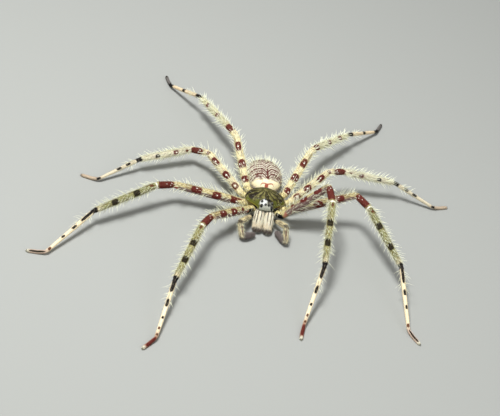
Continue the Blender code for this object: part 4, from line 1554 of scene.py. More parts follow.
    def build(self) -> None:
        """Makes the skin, the fur and the eyes."""
        sheet = Sheet(self.shape, 144, 136)
        finish = ShieldFinish("shield", self.seats(), self.pit_y)
        skin = sheet.mesh("carapace")
        settle("carapace_skin", skin, finish.dress(Layer.SKIN), "shield", "carapace")
        self.build_fur(sheet, finish)
        for eye in self.eyes:
            for side in Side:
                self.build_eye(eye, side)

    def build_fur(self, sheet: Sheet, finish: Finish) -> None:
        """Makes the shield's short fur, thicker and silver about the face.

        Args:
            sheet: The shield's surface.
            finish: Its finish.
        """
        coat = Coat()
        clear = sheet.scatter(3600, lambda place, out: (place[:, 2] > 4.95) & self.clear(place))
        coat.add(self.short_hair, clear, 1)
        crown = sheet.scatter(16000, lambda place, out: (
            (place[:, 1] < -2.7) & (place[:, 2] > 4.8) & (np.abs(place[:, 0]) < 2.0)
            & self.clear(place)))
        coat.add(self.crown_hair, crown, 2)
        coat.add(self.stiff_hair, clear.only(slice(0, None, 45)), 3)
        settle("carapace_fur", coat.mesh("fur"), finish.dress(Layer.FUR), "shield")

    def clear(self, place: Array) -> Array:
        """Finds the skin outside the eyes.

        Args:
            place: Places in millimetres.

        Returns:
            True for each place that lies clear of every eye.
        """
        clear = np.ones(len(place), bool)
        for across, along, radius in self.seats():
            off = np.hypot(place[:, 0] * MM - across, place[:, 1] * MM - along)
            clear &= off > radius * 1.05
        return clear

    def build_eye(self, eye: Eye, side: Side) -> None:
        """Makes one eye, a ball sunk to a little under half in the shield.

        Args:
            eye: Its name, place and radius.
            side: Its side.
        """
        step = 0.03 * MM
        spots = self.seat(eye, side) + step * np.array([[0, 0], [1, 0], [0, 1]])
        points = np.column_stack([spots, self.top(spots[:, 0], spots[:, 1])])
        outward = unit(np.cross(points[1] - points[0], points[2] - points[0]))
        centre = self.placed(points[0] + outward * eye.radius * 0.1)
        bm = bmesh.new()
        bmesh.ops.create_uvsphere(bm, u_segments=32, v_segments=20, radius=eye.radius)
        bmesh.ops.translate(bm, verts=bm.verts, vec=Vector(centre))
        label = f"eye_{eye.name}_{side.word}"
        settle(f"{label}_ball", finished(bm, eye.name), EYE_BLACK.dress(), "eye", label)


@dataclass(frozen=True)
class Underside:
    """The plate between the legs, the soft skin round it, and the waist."""

    origin: Array
    centre_y: float = 0.1 * MM
    half_width: float = 1.9 * MM
    half_length: float = 2.35 * MM
    lying: Hair = Hair(0.5 * MM, 0.016 * MM, 25, 10)
    stiff: Hair = Hair(0.9 * MM, 0.02 * MM, 45, 25, rings=3, stiff=0.8)
    waist: float = 0.44 * MM
    waist_z: float = 3.75 * MM
    waist_from: float = 2.2 * MM
    waist_to: float = 4.2 * MM
    shares: Numbers = (0.0, 0.12, 0.25, 0.36, 0.42, 0.55, 0.7, 0.85, 1.0)
    widths: Numbers = (0.0, 0.9, 1.6, 1.84, 1.9, 2.5, 3.6, 3.9, 0.0)
    lengths: Numbers = (0.0, 1.1, 1.95, 2.28, 2.35, 2.9, 3.7, 3.7, 0.0)
    levels: Numbers = (2.14, 2.15, 2.2, 2.3, 2.5, 2.9, 3.7, 4.5, 4.75)
    shifts: Numbers = (0.1, 0.1, 0.1, 0.1, 0.1, 0.0, -0.6, -0.8, -0.8)

    def shape(self, turn: Array, share: Array) -> tuple[Array, Array, Array]:
        """Points, places and lie from the plate's middle up to under the shield.

        Args:
            turn: Turns round the body's upright line.
            share: Shares from the plate's middle to under the shield.

        Returns:
            The points, the places in millimetres and the directions in which hair lies.
        """
        across, length, level, shift = (
            np.interp(share, self.shares, values)
            for values in (self.widths, self.lengths, self.levels, self.shifts)
        )
        angle = turn - math.pi / 2
        notch = 1 + 0.04 * np.cos(angle * 8) * np.interp(share, [0.3, 0.42, 0.6], [0, 1, 0])
        taper = 1 - 0.16 * np.maximum(0, np.sin(angle)) ** 2
        x = np.cos(angle) * across * notch * taper
        y = np.sin(angle) * length * notch + shift
        place = np.stack([x, y, level], axis=1)
        return place * MM + self.origin, place, np.tile([0.0, 1.0, 0.0], (len(x), 1))

    def build(self) -> None:
        """Makes the skin with the waist, and its fur."""
        sheet = Sheet(self.shape, 96, 60)
        finish = UnderFinish("underside")
        ends = [np.array([0.0, y, self.waist_z]) + self.origin
                for y in (self.waist_from, self.waist_to)]
        waist = Tube(ends, [2.6, 2.6], [(2.6, self.waist), (2.61, self.waist)], 0.0, sides=20)
        meshes = [sheet.mesh("plate"), waist.sheet().mesh("waist")]
        skin = joined("underside", meshes)
        settle("underside_skin", skin, finish.dress(Layer.SKIN), "underside", "sternum", "pedicel")
        coat = Coat()
        below = sheet.scatter(2600, lambda place, out: place[:, 2] < 2.6)
        coat.add(self.lying, below, 11)
        coat.add(self.stiff, below.only(slice(0, None, 14)), 12)
        settle("underside_fur", coat.mesh("fur"), finish.dress(Layer.FUR), "underside")


@dataclass(frozen=True)
class Abdomen:
    """The abdomen and its spinnerets: an oval, fuller behind its middle, under short fur."""

    origin: Array
    centre: Spot = (-0.65, 9.3, 3.75)
    half_width: float = 4.8 * MM
    half_length: float = 5.7 * MM
    half_height: float = 3.3 * MM
    swing: float = 8.0
    dents: Table = ((0.16, -0.3), (0.54, -0.43), (0.2, 0.05), (0.2, 0.35))
    dent_depth: float = 0.14 * MM
    lying: Hair = Hair(0.27 * MM, 0.022 * MM, 16, 4, sway=16)
    bristle: Hair = Hair(1.7 * MM, 0.075 * MM, 70, 50, sides=4, rings=4, stiff=1.0)
    spinneret_length: float = 0.9 * MM
    spinneret_spread: float = 0.32 * MM
    spinneret_drop: float = 0.5 * MM

    def turned(self) -> Array:
        """How the abdomen's own frame, its +Y to the tail, is turned in the model's."""
        return swung(self.swing)

    def placed(self, local: Array) -> Array:
        """Points of the abdomen's own frame, in the model's frame."""
        return local @ self.turned().T + millimetres(self.centre) + self.origin

    def shape(self, turn: Array, share: Array) -> tuple[Array, Array, Array]:
        """Points, places and lie of the abdomen's surface.

        Args:
            turn: Turns round the abdomen's long line.
            share: Shares along it.

        Returns:
            The points, the places from -1 to 1 each way, and the directions in which hair lies.
        """
        run = -np.cos(math.pi * share)
        fullness = 1 - 0.12 * run**2 + 0.06 * run
        reach = fullness * np.maximum(0, 1 - np.abs(run) ** 2.5) ** 0.45
        angle = turn - math.pi / 2
        across, rise = np.cos(angle) * reach, np.sin(angle) * reach
        belly = np.where(rise < 0, 0.94, 1.0)
        sunk = np.zeros_like(run)
        for out, back in self.dents:
            sunk = sunk + hill(np.hypot((np.abs(across) - out) / 0.05, (run - back) / 0.06))
        sunk = np.where(rise > 0, sunk * self.dent_depth, 0) + COAT_DEPTH
        size = np.array([self.half_width, self.half_length, self.half_height])
        flat = np.stack([across, run, rise * belly], axis=1) * size
        local = flat * (1 - sunk / self.half_height)[:, None]
        place = np.stack([across, run, rise], axis=1)
        lie = np.tile(self.turned() @ np.array([0.0, 1.0, -0.1]), (len(across), 1))
        return self.placed(local), place, lie

    def spinnerets(self) -> list[Mesh]:
        """The four short spinning tubes at the tail.

        Returns:
            Their meshes.
        """
        start = np.array([0, self.half_length - 0.1 * MM, -self.spinneret_drop])
        meshes = []
        for across in (-self.spinneret_spread, self.spinneret_spread):
            for drop, length in ((0.0, 1.0), (self.spinneret_drop, 0.7)):
                reach = self.spinneret_length * length + 0.4 * MM
                root = start + np.array([across, -0.3 * MM, -drop])
                tip = start + np.array([across * 1.4, reach - 0.05 * MM, -drop])
                ends = [self.placed(root), self.placed(tip)]
                widths = [(0.9, 0.36 * MM), (0.94, 0.3 * MM), (0.95, 0.17 * MM)]
                tube = Tube(ends, [0.9, 0.95], widths, 0.0, spacing=0.08 * MM, sides=16)
                meshes.append(tube.sheet().mesh("spinneret"))
        return meshes

    def build(self) -> None:
        """Makes the skin, the fur and the bristles."""
        sheet = Sheet(self.shape, 144, 128)
        finish = AbdomenFinish("abdomen")
        meshes = [sheet.mesh("abdomen"), *self.spinnerets()]
        skin = joined("abdomen", meshes)
        settle("abdomen_skin", skin, finish.dress(Layer.SKIN), "abdomen", "abdomen", "spinnerets")
        coat = Coat()
        coat.add(self.lying, sheet.scatter(13500), 21)
        spread = sheet.scatter(560, lambda place, out: (place[:, 2] > -0.55) * np.interp(
            place[:, 1], [-0.8, -0.7, 0.1, 0.5], [0, 0.2, 0.25, 0.9]))
        coat.add(self.bristle, spread, 22)
        settle("abdomen_fur", coat.mesh("fur"), finish.dress(Layer.FUR), "abdomen")


@dataclass(frozen=True)
class Jaw:
    """One chelicera with its fang: a stout barrel slanting forward and down from the face."""

    origin: Array
    side: Side
    root: Spot = (1.2, -4.3, 3.75)
    end: Spot = (1.28, -7.75, 0.3)
    overrun: float = 0.7 * MM
    marks: Numbers = (-0.15, 0.0, 0.3, 0.6, 1.0, 1.15)
    radii: Numbers = (1.0, 1.25, 1.4, 1.38, 1.18, 1.0)
    lowest: float = 0.9 * MM
    highest: float = 4.72 * MM
    seam: float = 0.06 * MM
    ridge: float = 0.06 * MM
    fang_points: tuple[Spot, ...] = ((2.05, -7.8, 0.3), (1.45, -7.25, 0.28), (0.45, -7.35, 0.27))
    fang_radii: Numbers = (0.24, 0.22, 0.05)
    lying: Hair = Hair(0.5 * MM, 0.022 * MM, 12, 4, sway=7)
    stray: Hair = Hair(1.0 * MM, 0.028 * MM, 40, 22, rings=3, stiff=0.8)
    fringe: Hair = Hair(0.7 * MM, 0.026 * MM, 30, -14, sway=16, rings=3)

    @property
    def name(self) -> str:
        """The jaw's name."""
        return f"chelicera_{self.side.word}"

    def mirrored(self, point: Array) -> Array:
        """A point of the left side, on this jaw's side and in the frame."""
        return point * np.array([self.side.value, 1, 1]) + self.origin

    def limited(self, point: Array) -> Array:
        """Holds the surface off the other jaw, the floor and the shield's top.

        Args:
            point: Points of the surface.

        Returns:
            The points where they may be.
        """
        held = point.copy()
        aside = np.maximum((held[:, 0] - self.origin[0]) * self.side.value, self.seam)
        held[:, 0] = self.origin[0] + aside * self.side.value
        held[:, 2] = np.clip(held[:, 2], self.lowest, self.highest)
        return held

    def ridges(self, along: Array, turn: Array) -> Array:
        """Shallow furrows down the jaw between its ridges of cream hair."""
        fade = np.interp(along, [0.0, 0.1, 0.55, 0.9], [0.0, 1.0, 0.7, 0.0])
        return -self.ridge * fade * (0.5 + 0.5 * np.cos(turn * 9.4 + 3.6)) ** 3

    def build(self) -> None:
        """Makes the jaw's skin, its fur with the dark fringe, and the fang."""
        start, end = millimetres(self.root), millimetres(self.end)
        span = end - start
        way = span / np.linalg.norm(span)
        spots = [start - way * self.overrun, start, start + span * 0.3, start + span * 0.6, end,
                 end + way * self.overrun]
        widths = [(mark, radius * MM - COAT_DEPTH) for mark, radius in zip(self.marks, self.radii)]
        tube = Tube([self.mirrored(spot) for spot in spots], list(self.marks), widths, 0.2 * MM,
                    front=float(self.side.value), spacing=0.1 * MM, sides=96,
                    limit=self.limited, slide=((-1.0, -1.0), (2.0, 2.0)), swell=self.ridges)
        sheet = tube.sheet()
        finish = JawFinish(f"jaw_{self.side.word}")
        skin = sheet.mesh(self.name)
        settle(f"{self.name}_skin", skin, finish.dress(Layer.SKIN), "jaw", self.name)
        self.build_fur(sheet, finish)
        self.build_fang()

    def build_fur(self, sheet: Sheet, finish: Finish) -> None:
        """Makes the jaw's lying hair, its long stray hairs and the fringe at its end.

        Args:
            sheet: The jaw's surface.
            finish: Its finish.
        """
        coat = Coat()
        free = sheet.scatter(5600, lambda place, out: (place[:, 1] < 0.9) | (place[:, 0] > 0.8))
        coat.add(self.lying, free, 31)
        coat.add(self.stray, free.only(slice(0, None, 36)), 32)
        low = sheet.scatter(6400, lambda place, out: (
            (place[:, 0] > 0.74) & (place[:, 0] < 1.07) & (out[:, 2] > -0.8)))
        coat.add(self.fringe, low, 33)
        settle(f"{self.name}_fur", coat.mesh("fur"), finish.dress(Layer.FUR), "jaw")

    def build_fang(self) -> None:
        """Makes the fang, folded in under the jaw's end."""
        marks = (0.0, 0.5, 1.0)
        widths = [(mark, radius * MM) for mark, radius in zip(marks, self.fang_radii)]
        spots = [self.mirrored(millimetres(spot)) for spot in self.fang_points]
        fang = Tube(spots, list(marks), widths, 0.25 * MM, spacing=0.05 * MM, sides=20)
        label = f"fang_{self.side.word}"
        settle(f"{label}_horn", fang.sheet().mesh(label), HORN.dress(), "fang", label)


@dataclass(frozen=True)
class Palp:
    """One palp, from its hip under the jaws to the padded tip curled inwards."""

    origin: Array
    side: Side
    left: tuple[Spot, ...] = ((1.2, -3.3, 1.6), (3.0, -4.3, 1.7), (3.6, -5.6, 2.6),
                              (5.6, -7.9, 3.6), (6.1, -11.2, 1.3), (3.7, -7.6, 0.8))
    right: tuple[Spot, ...] = ((-1.2, -3.3, 1.6), (-3.0, -4.3, 1.7), (-3.6, -5.7, 2.6),
                               (-6.1, -9.6, 3.7), (-5.0, -12.1, 1.3), (-1.9, -10.1, 0.9))
    widths: Table = (
        (0.0, 0.4), (1.0, 0.4), (2.0, 0.5), (2.9, 0.6), (3.0, 0.5), (3.1, 0.6), (3.9, 0.55),
        (4.0, 0.46), (4.12, 0.58), (4.35, 0.64), (4.8, 0.5), (5.0, 0.26),
    )
    bend: float = 0.45 * MM
    lying: Hair = Hair(0.55 * MM, 0.024 * MM, 34, 14)
    padding: Hair = Hair(0.62 * MM, 0.026 * MM, 46, 20, sway=20)
    bristle: Hair = Hair(1.0 * MM, 0.04 * MM, 58, 32, rings=4, stiff=1.0)

    @property
    def name(self) -> str:
        """The palp's name."""
        return f"palp_{self.side.word}"

    def build(self) -> None:
        """Makes the palp's skin and its fur."""
        joints = self.left if self.side is Side.LEFT else self.right
        spots = [millimetres(spot) + self.origin for spot in joints]
        widths = [(mark, radius * MM - COAT_DEPTH / 2) for mark, radius in self.widths]
        tube = Tube(spots, [0.0, 1.0, 2.0, 3.0, 4.0, 5.0], widths, self.bend,
                    front=float(self.side.value), spacing=0.09 * MM, sides=36)
        sheet = tube.sheet()
        finish = PalpFinish(self.name)
        nodes = [f"{self.name}_{part}" for part in ("femur", "tibia", "tarsus")]
        skin = sheet.mesh(self.name)
        settle(f"{self.name}_skin", skin, finish.dress(Layer.SKIN), "palp", *nodes)
        coat = Coat()
        stalk = sheet.scatter(5600, lambda place, out: (place[:, 0] > 1.6) & (place[:, 0] < 4.02))
        coat.add(self.lying, stalk, 41)
        pad = sheet.scatter(9000, lambda place, out: place[:, 0] > 3.98)
        coat.add(self.padding, pad, 42)
        upper = sheet.scatter(420, lambda place, out: (
            (place[:, 0] > 2.2) & (place[:, 0] < 3.95) & (out[:, 2] > -0.5)))
        coat.add(self.bristle, upper, 43)
        settle(f"{self.name}_fur", coat.mesh("fur"), finish.dress(Layer.FUR), "palp")


@dataclass(frozen=True)
class Stance:
    """How one leg stands and how its markings sit.

    Attributes:
        headings: Compass headings of its five free segments, in degrees, 0 to the spider's left
            and 90 to its rear.
        climbs: Degrees by which the first three climb.
        rows: How far round from the top, towards the front, the row of spots lies on each.
        slide: How far the femur's marks lie beyond their usual places.
    """

    headings: Numbers
    climbs: Numbers
    rows: Numbers
    slide: float = 0.0


@dataclass(frozen=True)
class Pair:
    """What the two legs of a pair share.

    Attributes:
        number: 1 in front to 4 at the rear.
        lengths: Lengths in millimetres of the five free segments.
        stoutness: Thickness against the usual.
        hip_bearing: Bearing of the hip, in degrees.
        root_bearing: Bearing of the root beside the plate, in degrees.
        stances: How the left and the right leg stand.
        finish: Their finish.
    """

    number: int
    lengths: Numbers
    stoutness: float
    hip_bearing: float
    root_bearing: float
    stances: dict[Side, Stance]
    finish: LegFinish


FIRST_LENGTHS = (14.2, 5.7, 17.4, 16.5, 4.6)
SECOND_LENGTHS = (17.9, 5.4, 17.9, 17.1, 4.6)
THIRD_LENGTHS = (14.9, 4.9, 14.6, 12.2, 4.5)
FOURTH_LENGTHS = (15.9, 5.3, 14.4, 12.9, 4.6)

FIRST_FINISH = LegFinish(
    "leg_1", FIRST_LENGTHS,
    marks=(
        Mark(1.2, 0.5, -0.3, 0.5), Mark(1.44, 1.05, -0.15, 0.95), Mark(1.73, 1.2, -0.15, 1.0),
        Mark(2.5, 2.45, 0.0, 1.7), Mark(3.06, 0.5, -0.1, 0.35, Ink.BROWN),
        Mark(3.35, 0.95, 0.0, 0.85, Ink.OLIVE_BLACK), Mark(3.66, 1.0, 0.0, 0.9, Ink.OLIVE_BLACK),
        Mark(4.0, 0.75, ink=Ink.BLACK), Mark(4.1, 2.2, 0.0, 0.5, Ink.BLACK),
        Mark(4.42, 1.1, 0.0, 0.4, Ink.BLACK), Mark(4.67, 0.4, 0.1, 0.35, Ink.BLACK),
        Mark(4.85, 0.4, 0.0, 0.35, Ink.BROWN), Mark(4.955, 0.35, 0.0, 0.4, Ink.BROWN),
        Mark(5.4, 1.7, 0.0, 0.45),
    ),
    dots=(
        Dot(1.44, -0.1, 0.16), Dot(1.73, -0.5, 0.14), Dot(2.12, 0.0, 0.09), Dot(2.25, -0.3, 0.11),
        Dot(2.35, 0.3, 0.09),
    ),
    grounds=(
        paint(204, 192, 142), paint(164, 160, 108),
        paint(255, 240, 206), paint(160, 110, 88),
    ),
    fore=True, foremost=True,
)

SECOND_FINISH = LegFinish(
    "leg_2", SECOND_LENGTHS,
    marks=(
        Mark(1.1, 1.6, -0.6, 0.35), Mark(1.13, 0.9, 0.25, 0.75), Mark(1.38, 1.25, 0.05, 1.1),
        Mark(1.68, 1.45, -0.15, 1.0), Mark(2.5, 2.35, 0.0, 1.7),
        Mark(3.08, 0.5, -0.4, 0.4, Ink.BROWN), Mark(3.33, 0.95, 0.0, 0.85, Ink.OLIVE_BLACK),
        Mark(3.68, 0.95, 0.0, 0.85, Ink.OLIVE_BLACK), Mark(4.0, 0.8, ink=Ink.BLACK),
        Mark(4.14, 2.4, -0.3, 0.4, Ink.BLACK), Mark(4.42, 0.8, -0.25, 0.4, Ink.BLACK),
        Mark(4.65, 0.55, -0.25, 0.35, Ink.BLACK), Mark(4.935, 0.5, 0.0, 0.45, Ink.BROWN),
        Mark(5.45, 2.0, -0.35, 0.28, Ink.OLIVE_BLACK),
    ),
    dots=(
        Dot(1.09, 0.3, 0.19), Dot(1.38, 0.0, 0.13), Dot(1.68, -0.55, 0.14), Dot(2.22, -0.4, 0.11),
        Dot(2.3, 0.2, 0.09), Dot(2.5, -0.2, 0.08),
    ),
    grounds=(
        paint(214, 202, 152), paint(150, 150, 102),
        paint(252, 236, 200), paint(216, 192, 172),
    ),
    fore=True,
)

THIRD_FINISH = LegFinish(
    "leg_3", THIRD_LENGTHS,
    marks=(
        Mark(1.18, 0.95, 0.0, 0.95, hollow=0.5), Mark(1.435, 1.2, 0.0, 1.1),
        Mark(1.76, 1.35, 0.0, 1.0), Mark(1.99, 0.7, 0.0, 0.9), Mark(2.6, 1.75, 0.0, 1.25),
        Mark(3.1, 0.4, 0.2, 0.4, Ink.BROWN), Mark(3.31, 0.7, 0.0, 0.65),
        Mark(3.66, 0.65, 0.0, 0.6, Ink.OLIVE_BLACK), Mark(4.02, 0.75, ink=Ink.BLACK),
        Mark(4.28, 0.7, -0.3, 0.4, Ink.BLACK), Mark(4.5, 0.7, -0.3, 0.45, Ink.BLACK),
        Mark(5.02, 0.32, 0.0, 0.5, Ink.BLACK),
    ),
    dots=(
        Dot(1.18, 0.0, 0.22), Dot(1.435, 0.0, 0.24), Dot(1.76, -0.1, 0.19), Dot(2.05, 0.0, 0.13),
        Dot(2.2, 0.3, 0.14), Dot(2.42, -0.3, 0.14), Dot(2.48, 0.35, 0.13), Dot(3.31, 0.0, 0.17),
        Dot(3.66, 0.0, 0.14),
    ),
    grounds=(
        paint(250, 238, 196), paint(238, 232, 208),
        paint(232, 222, 194), paint(200, 182, 158),
    ),
)

FOURTH_FINISH = LegFinish(
    "leg_4", FOURTH_LENGTHS,
    marks=(
        Mark(1.15, 0.95, 0.0, 1.2), Mark(1.44, 1.25, 0.0, 1.3), Mark(1.77, 1.4, 0.0, 1.1),
        Mark(2.62, 1.7, 0.0, 1.25), Mark(3.32, 0.75, 0.0, 0.85), Mark(3.66, 0.75, 0.0, 0.85),
        Mark(4.02, 1.2, ink=Ink.BLACK), Mark(4.53, 0.6, -0.2, 0.7, Ink.BLACK),
        Mark(5.03, 0.55, ink=Ink.BLACK), Mark(5.9, 0.3, ink=Ink.OLIVE_BLACK),
    ),
    dots=(
        Dot(1.14, 0.34, 0.22), Dot(1.16, -0.7, 0.14), Dot(1.435, 0.62, 0.2),
        Dot(1.445, -0.56, 0.19), Dot(1.77, 0.1, 0.23), Dot(2.32, 0.0, 0.09), Dot(2.5, 0.3, 0.11),
        Dot(3.31, 0.2, 0.14), Dot(3.66, 0.0, 0.16),
    ),
    grounds=(
        paint(250, 238, 192), paint(222, 218, 180),
        paint(236, 216, 180), paint(112, 108, 104),
    ),
)

PAIRS = (
    Pair(1, FIRST_LENGTHS, 1.04, -43.0, -52.0, {
        Side.LEFT: Stance((14, -81, -91, -103, -97), (46, 0, -22), (0, 0.35, 0.12, -0.07, 0.03), 0.06),
        Side.RIGHT: Stance((-134, -113, -106, -99, -127), (16, 10, -12), (0.78, 0.36, 0.12, 0, 0.5)),
    }, FIRST_FINISH),
    Pair(2, SECOND_LENGTHS, 1.04, -17.0, -18.0, {
        Side.LEFT: Stance((12, -55, -59, -80, -52), (21, 4, -13), (0.8, 0.72, 0.57, 0.3, 0.72), 0.06),
        Side.RIGHT: Stance((-178, -148, -142, -124, -177), (6, 11, -8), (0.88, 0.83, 0.63, 0.4, 0.87)),
    }, SECOND_FINISH),
    Pair(3, THIRD_LENGTHS, 0.96, 10.5, 18.0, {
        Side.LEFT: Stance((48, 27, 8, -9, 22), (16, -9, -8), (0.49, 0.83, 0.88, 0.88, 0.8)),
        Side.RIGHT: Stance((132, 156, 208, 219, 169), (9, -18, -4), (0.7, 0.93, 0.74, 0.62, 0.87)),
    }, THIRD_FINISH),
    Pair(4, FOURTH_LENGTHS, 1.0, 37.5, 52.0, {
        Side.LEFT: Stance((68, 64, 50, 44, 68), (17, -17, -9), (0.21, 0.52, 0.64, 0.72, 0.27), -0.07),
        Side.RIGHT: Stance((107, 116, 123, 130, 110), (17, -10, -6), (0.39, 0.69, 0.72, 0.81, 0.52)),
    }, FOURTH_FINISH),
)


def step_along(heading: float, climb: float, length: float) -> Array:
    """A step on a compass heading.

    Args:
        heading: Degrees, 0 to the spider's left and 90 to its rear.
        climb: Degrees above level.
        length: The step's length.

    Returns:
        The step.
    """
    turn, rise = math.radians(heading), math.radians(climb)
    flat = length * math.cos(rise)
    return np.array([flat * math.cos(turn), flat * math.sin(turn), length * math.sin(rise)])


def step_down(heading: float, length: float, drop: float) -> Array:
    """A step on a compass heading that loses a given height."""
    return step_along(heading, -math.degrees(math.asin(drop / length)), length)


@dataclass
class Leg:
    """One leg: its skin from hip to claw, its coat of fur and bristles, and its claws."""

    origin: Array
    side: Side
    pair: Pair
    root_width: float = 2.3 * MM
    root_length: float = 2.75 * MM
    root_y: float = 0.1 * MM
    root_z: float = 3.2 * MM
    hip_radius: float = 6.1 * MM
    hip_z: float = 3.6 * MM
    ankle_z: float = 0.85 * MM
    sole_axis_z: float = 0.38 * MM
    bend: float = 0.5 * MM
    hip_row: float = 0.8
    widths: Table = (
        (0.0, 0.56), (0.4, 0.72), (0.9, 0.9), (0.98, 0.9), (1.0, 0.76), (1.02, 0.86), (1.18, 1.02),
        (1.45, 1.04), (1.75, 0.96), (1.95, 0.88), (1.985, 0.84), (2.0, 0.72), (2.05, 0.78),
        (2.3, 0.88), (2.7, 0.9), (2.95, 0.84), (3.0, 0.76), (3.03, 0.8), (3.2, 0.84), (3.6, 0.8),
        (3.9, 0.68), (3.975, 0.66), (4.0, 0.52), (4.03, 0.56), (4.3, 0.52), (4.9, 0.43),
        (4.97, 0.44), (5.0, 0.37), (5.1, 0.42), (5.45, 0.46), (5.88, 0.44), (6.0, 0.26),
    )
    bristle_places: Numbers = (
        0.0, 0.7, 1.05, 1.15, 1.95, 2.0, 2.1, 2.9, 3.0, 3.05, 3.9, 4.0, 4.1, 4.35, 4.5,
    )
    bristle_shares: Numbers = (
        0.0, 0.1, 0.3, 1.0, 1.0, 0.0, 0.7, 0.7, 0.3, 1.0, 1.0, 0.2, 0.8, 0.5, 0.0,
    )
    shag_places: Numbers = (1.0, 1.1, 1.9, 2.1, 2.9, 3.02, 3.9, 4.0, 4.4, 4.6)
    shag_shares: Numbers = (0.0, 0.12, 0.12, 0.05, 0.25, 0.8, 0.8, 0.2, 0.3, 0.0)
    lying: Hair = Hair(0.45 * MM, 0.022 * MM, 18, 5, sway=15)
    tall: Hair = Hair(
        2.1 * MM, 0.085 * MM, 62, 40, spread=0.16, sway=12, sides=4, rings=4, stiff=1.0
    )
    short: Hair = Hair(1.2 * MM, 0.05 * MM, 52, 28, rings=3, stiff=0.95)
    shag: Hair = Hair(1.25 * MM, 0.045 * MM, 40, 16, spread=0.3, sway=18, rings=3, stiff=0.8)
    padding: Hair = Hair(0.26 * MM, 0.016 * MM, 55, 35)
    tuft: Hair = Hair(0.4 * MM, 0.02 * MM, 30, 0, sway=24)
    spots: list[Array] = field(init=False)

    def __post_init__(self) -> None:
        """Works out the leg's joints."""
        pair, stance = self.pair, self.stance
        root_turn, hip_turn = math.radians(pair.root_bearing), math.radians(pair.hip_bearing)
        side = self.side.value
        root = np.array([side * self.root_width * math.cos(root_turn),
                         self.root_y + self.root_length * math.sin(root_turn), self.root_z])
        hip = np.array([side * self.hip_radius * math.cos(hip_turn),
                        self.hip_radius * math.sin(hip_turn), self.hip_z])
        lengths = [length * MM for length in pair.lengths]
        spots = [root, hip]
        for heading, climb, length in zip(stance.headings, stance.climbs, lengths):
            spots.append(spots[-1] + step_along(heading, climb, length))
        drop = spots[-1][2] - self.ankle_z
        spots.append(spots[-1] + step_down(stance.headings[3], lengths[3], drop))
        drop = self.ankle_z - self.sole_axis_z
        claw = spots[-1] + step_down(stance.headings[4], lengths[4], drop)
        for share in (0.45, 0.88):
            spot = spots[5] + (claw - spots[5]) * share
            spot[2] = self.sole_axis_z
            spots.append(spot)
        spots.append(claw)
        self.spots = [spot + self.origin for spot in spots]

    @property
    def name(self) -> str:
        """The leg's name."""
        return f"leg{self.pair.number}_{self.side.word}"

    @property
    def stance(self) -> Stance:
        """How the leg stands."""
        return self.pair.stances[self.side]

    def tube(self) -> Tube:
        """The leg as a tube just inside its solids.

        Returns:
            The tube.
        """
        widths = [(mark, radius * self.pair.stoutness * MM - COAT_DEPTH)
                  for mark, radius in self.widths]
        marks = [0.0, 1.0, 2.0, 3.0, 4.0, 5.0, 5.45, 5.88, 6.0]
        rows = [(0.0, self.hip_row), (1.0, self.hip_row)]
        for number, row in enumerate(self.stance.rows):
            rows += [(number + 1.1, row), (number + 1.9, row)]
        slide = self.stance.slide
        shifted = ((0.0, 0.0), (1.0, 1.0), (1.1 + slide, 1.1), (1.85 + slide, 1.85), (2.0, 2.0),
                   (6.0, 6.0))
        return Tube(self.spots, marks, widths, self.bend, front=float(self.side.value),
                    rows_of_spots=rows, slide=shifted)

    def build(self, looks: dict[Layer, Look]) -> None:
        """Makes the leg.

        Args:
            looks: The materials of its skin and its coat.
        """
        sheet = self.tube().sheet()
        nodes = [f"{self.name}_{part}" for part in ("coxa", "femur", "tibia", "tarsus")]
        settle(f"{self.name}_skin", sheet.mesh(self.name), looks[Layer.SKIN], "leg", *nodes)
        self.build_fur(sheet, looks[Layer.FUR])
        self.build_claws()

    def build_fur(self, sheet: Sheet, look: Look) -> None:
        """Makes the leg's fur: short lying hair, tall bristles, and pads under the foot.

        Args:
            sheet: The leg's surface.
            look: The coat's material.
        """
        seed = 100 * self.pair.number + 10 * self.side.value
        coat = Coat()
        lying = sheet.scatter(8600, lambda place, out: (
            np.interp(place[:, 0], [0.3, 0.9, 1.0], [0.25, 0.4, 1.0])))
        coat.add(self.lying, lying, seed)
        rows = sheet.scatter(1350, self.bristle_chance)
        coat.add(self.tall, rows.only(slice(0, None, 3)), seed + 1)
        coat.add(self.short, rows.only(slice(1, None, 3)), seed + 2)
        coat.add(self.shag, sheet.scatter(2600, self.shag_chance), seed + 5)
        pads = sheet.scatter(16000, lambda place, out: (place[:, 0] > 4.35) & (out[:, 2] < -0.35))
        coat.add(self.padding, pads, seed + 3)
        toes = sheet.scatter(16000, lambda place, out: place[:, 0] > 5.88)
        coat.add(self.tuft, toes, seed + 4)
        settle(f"{self.name}_fur", coat.mesh("fur"), look, "leg")

    def bristle_chance(self, place: Array, outward: Array) -> Array:
        """How likely a bristle stands at a place: all along, to the metatarsus' start.

        Args:
            place: Places in the markings.
            outward: Directions out of the leg.

        Returns:
            A share for each.
        """
        below = np.interp(outward[:, 2], [-1.0, -0.7, -0.3], [0.35, 0.5, 1.0])
        free = ~self.pair.finish.marked(place)
        return np.interp(place[:, 0], self.bristle_places, self.bristle_shares) * below * free

    def shag_chance(self, place: Array, outward: Array) -> Array:
        """How likely a long lying hair grows: mostly on the tibia, off the marks."""
        free = ~self.pair.finish.marked(place)
        return np.interp(place[:, 0], self.shag_places, self.shag_shares) * free

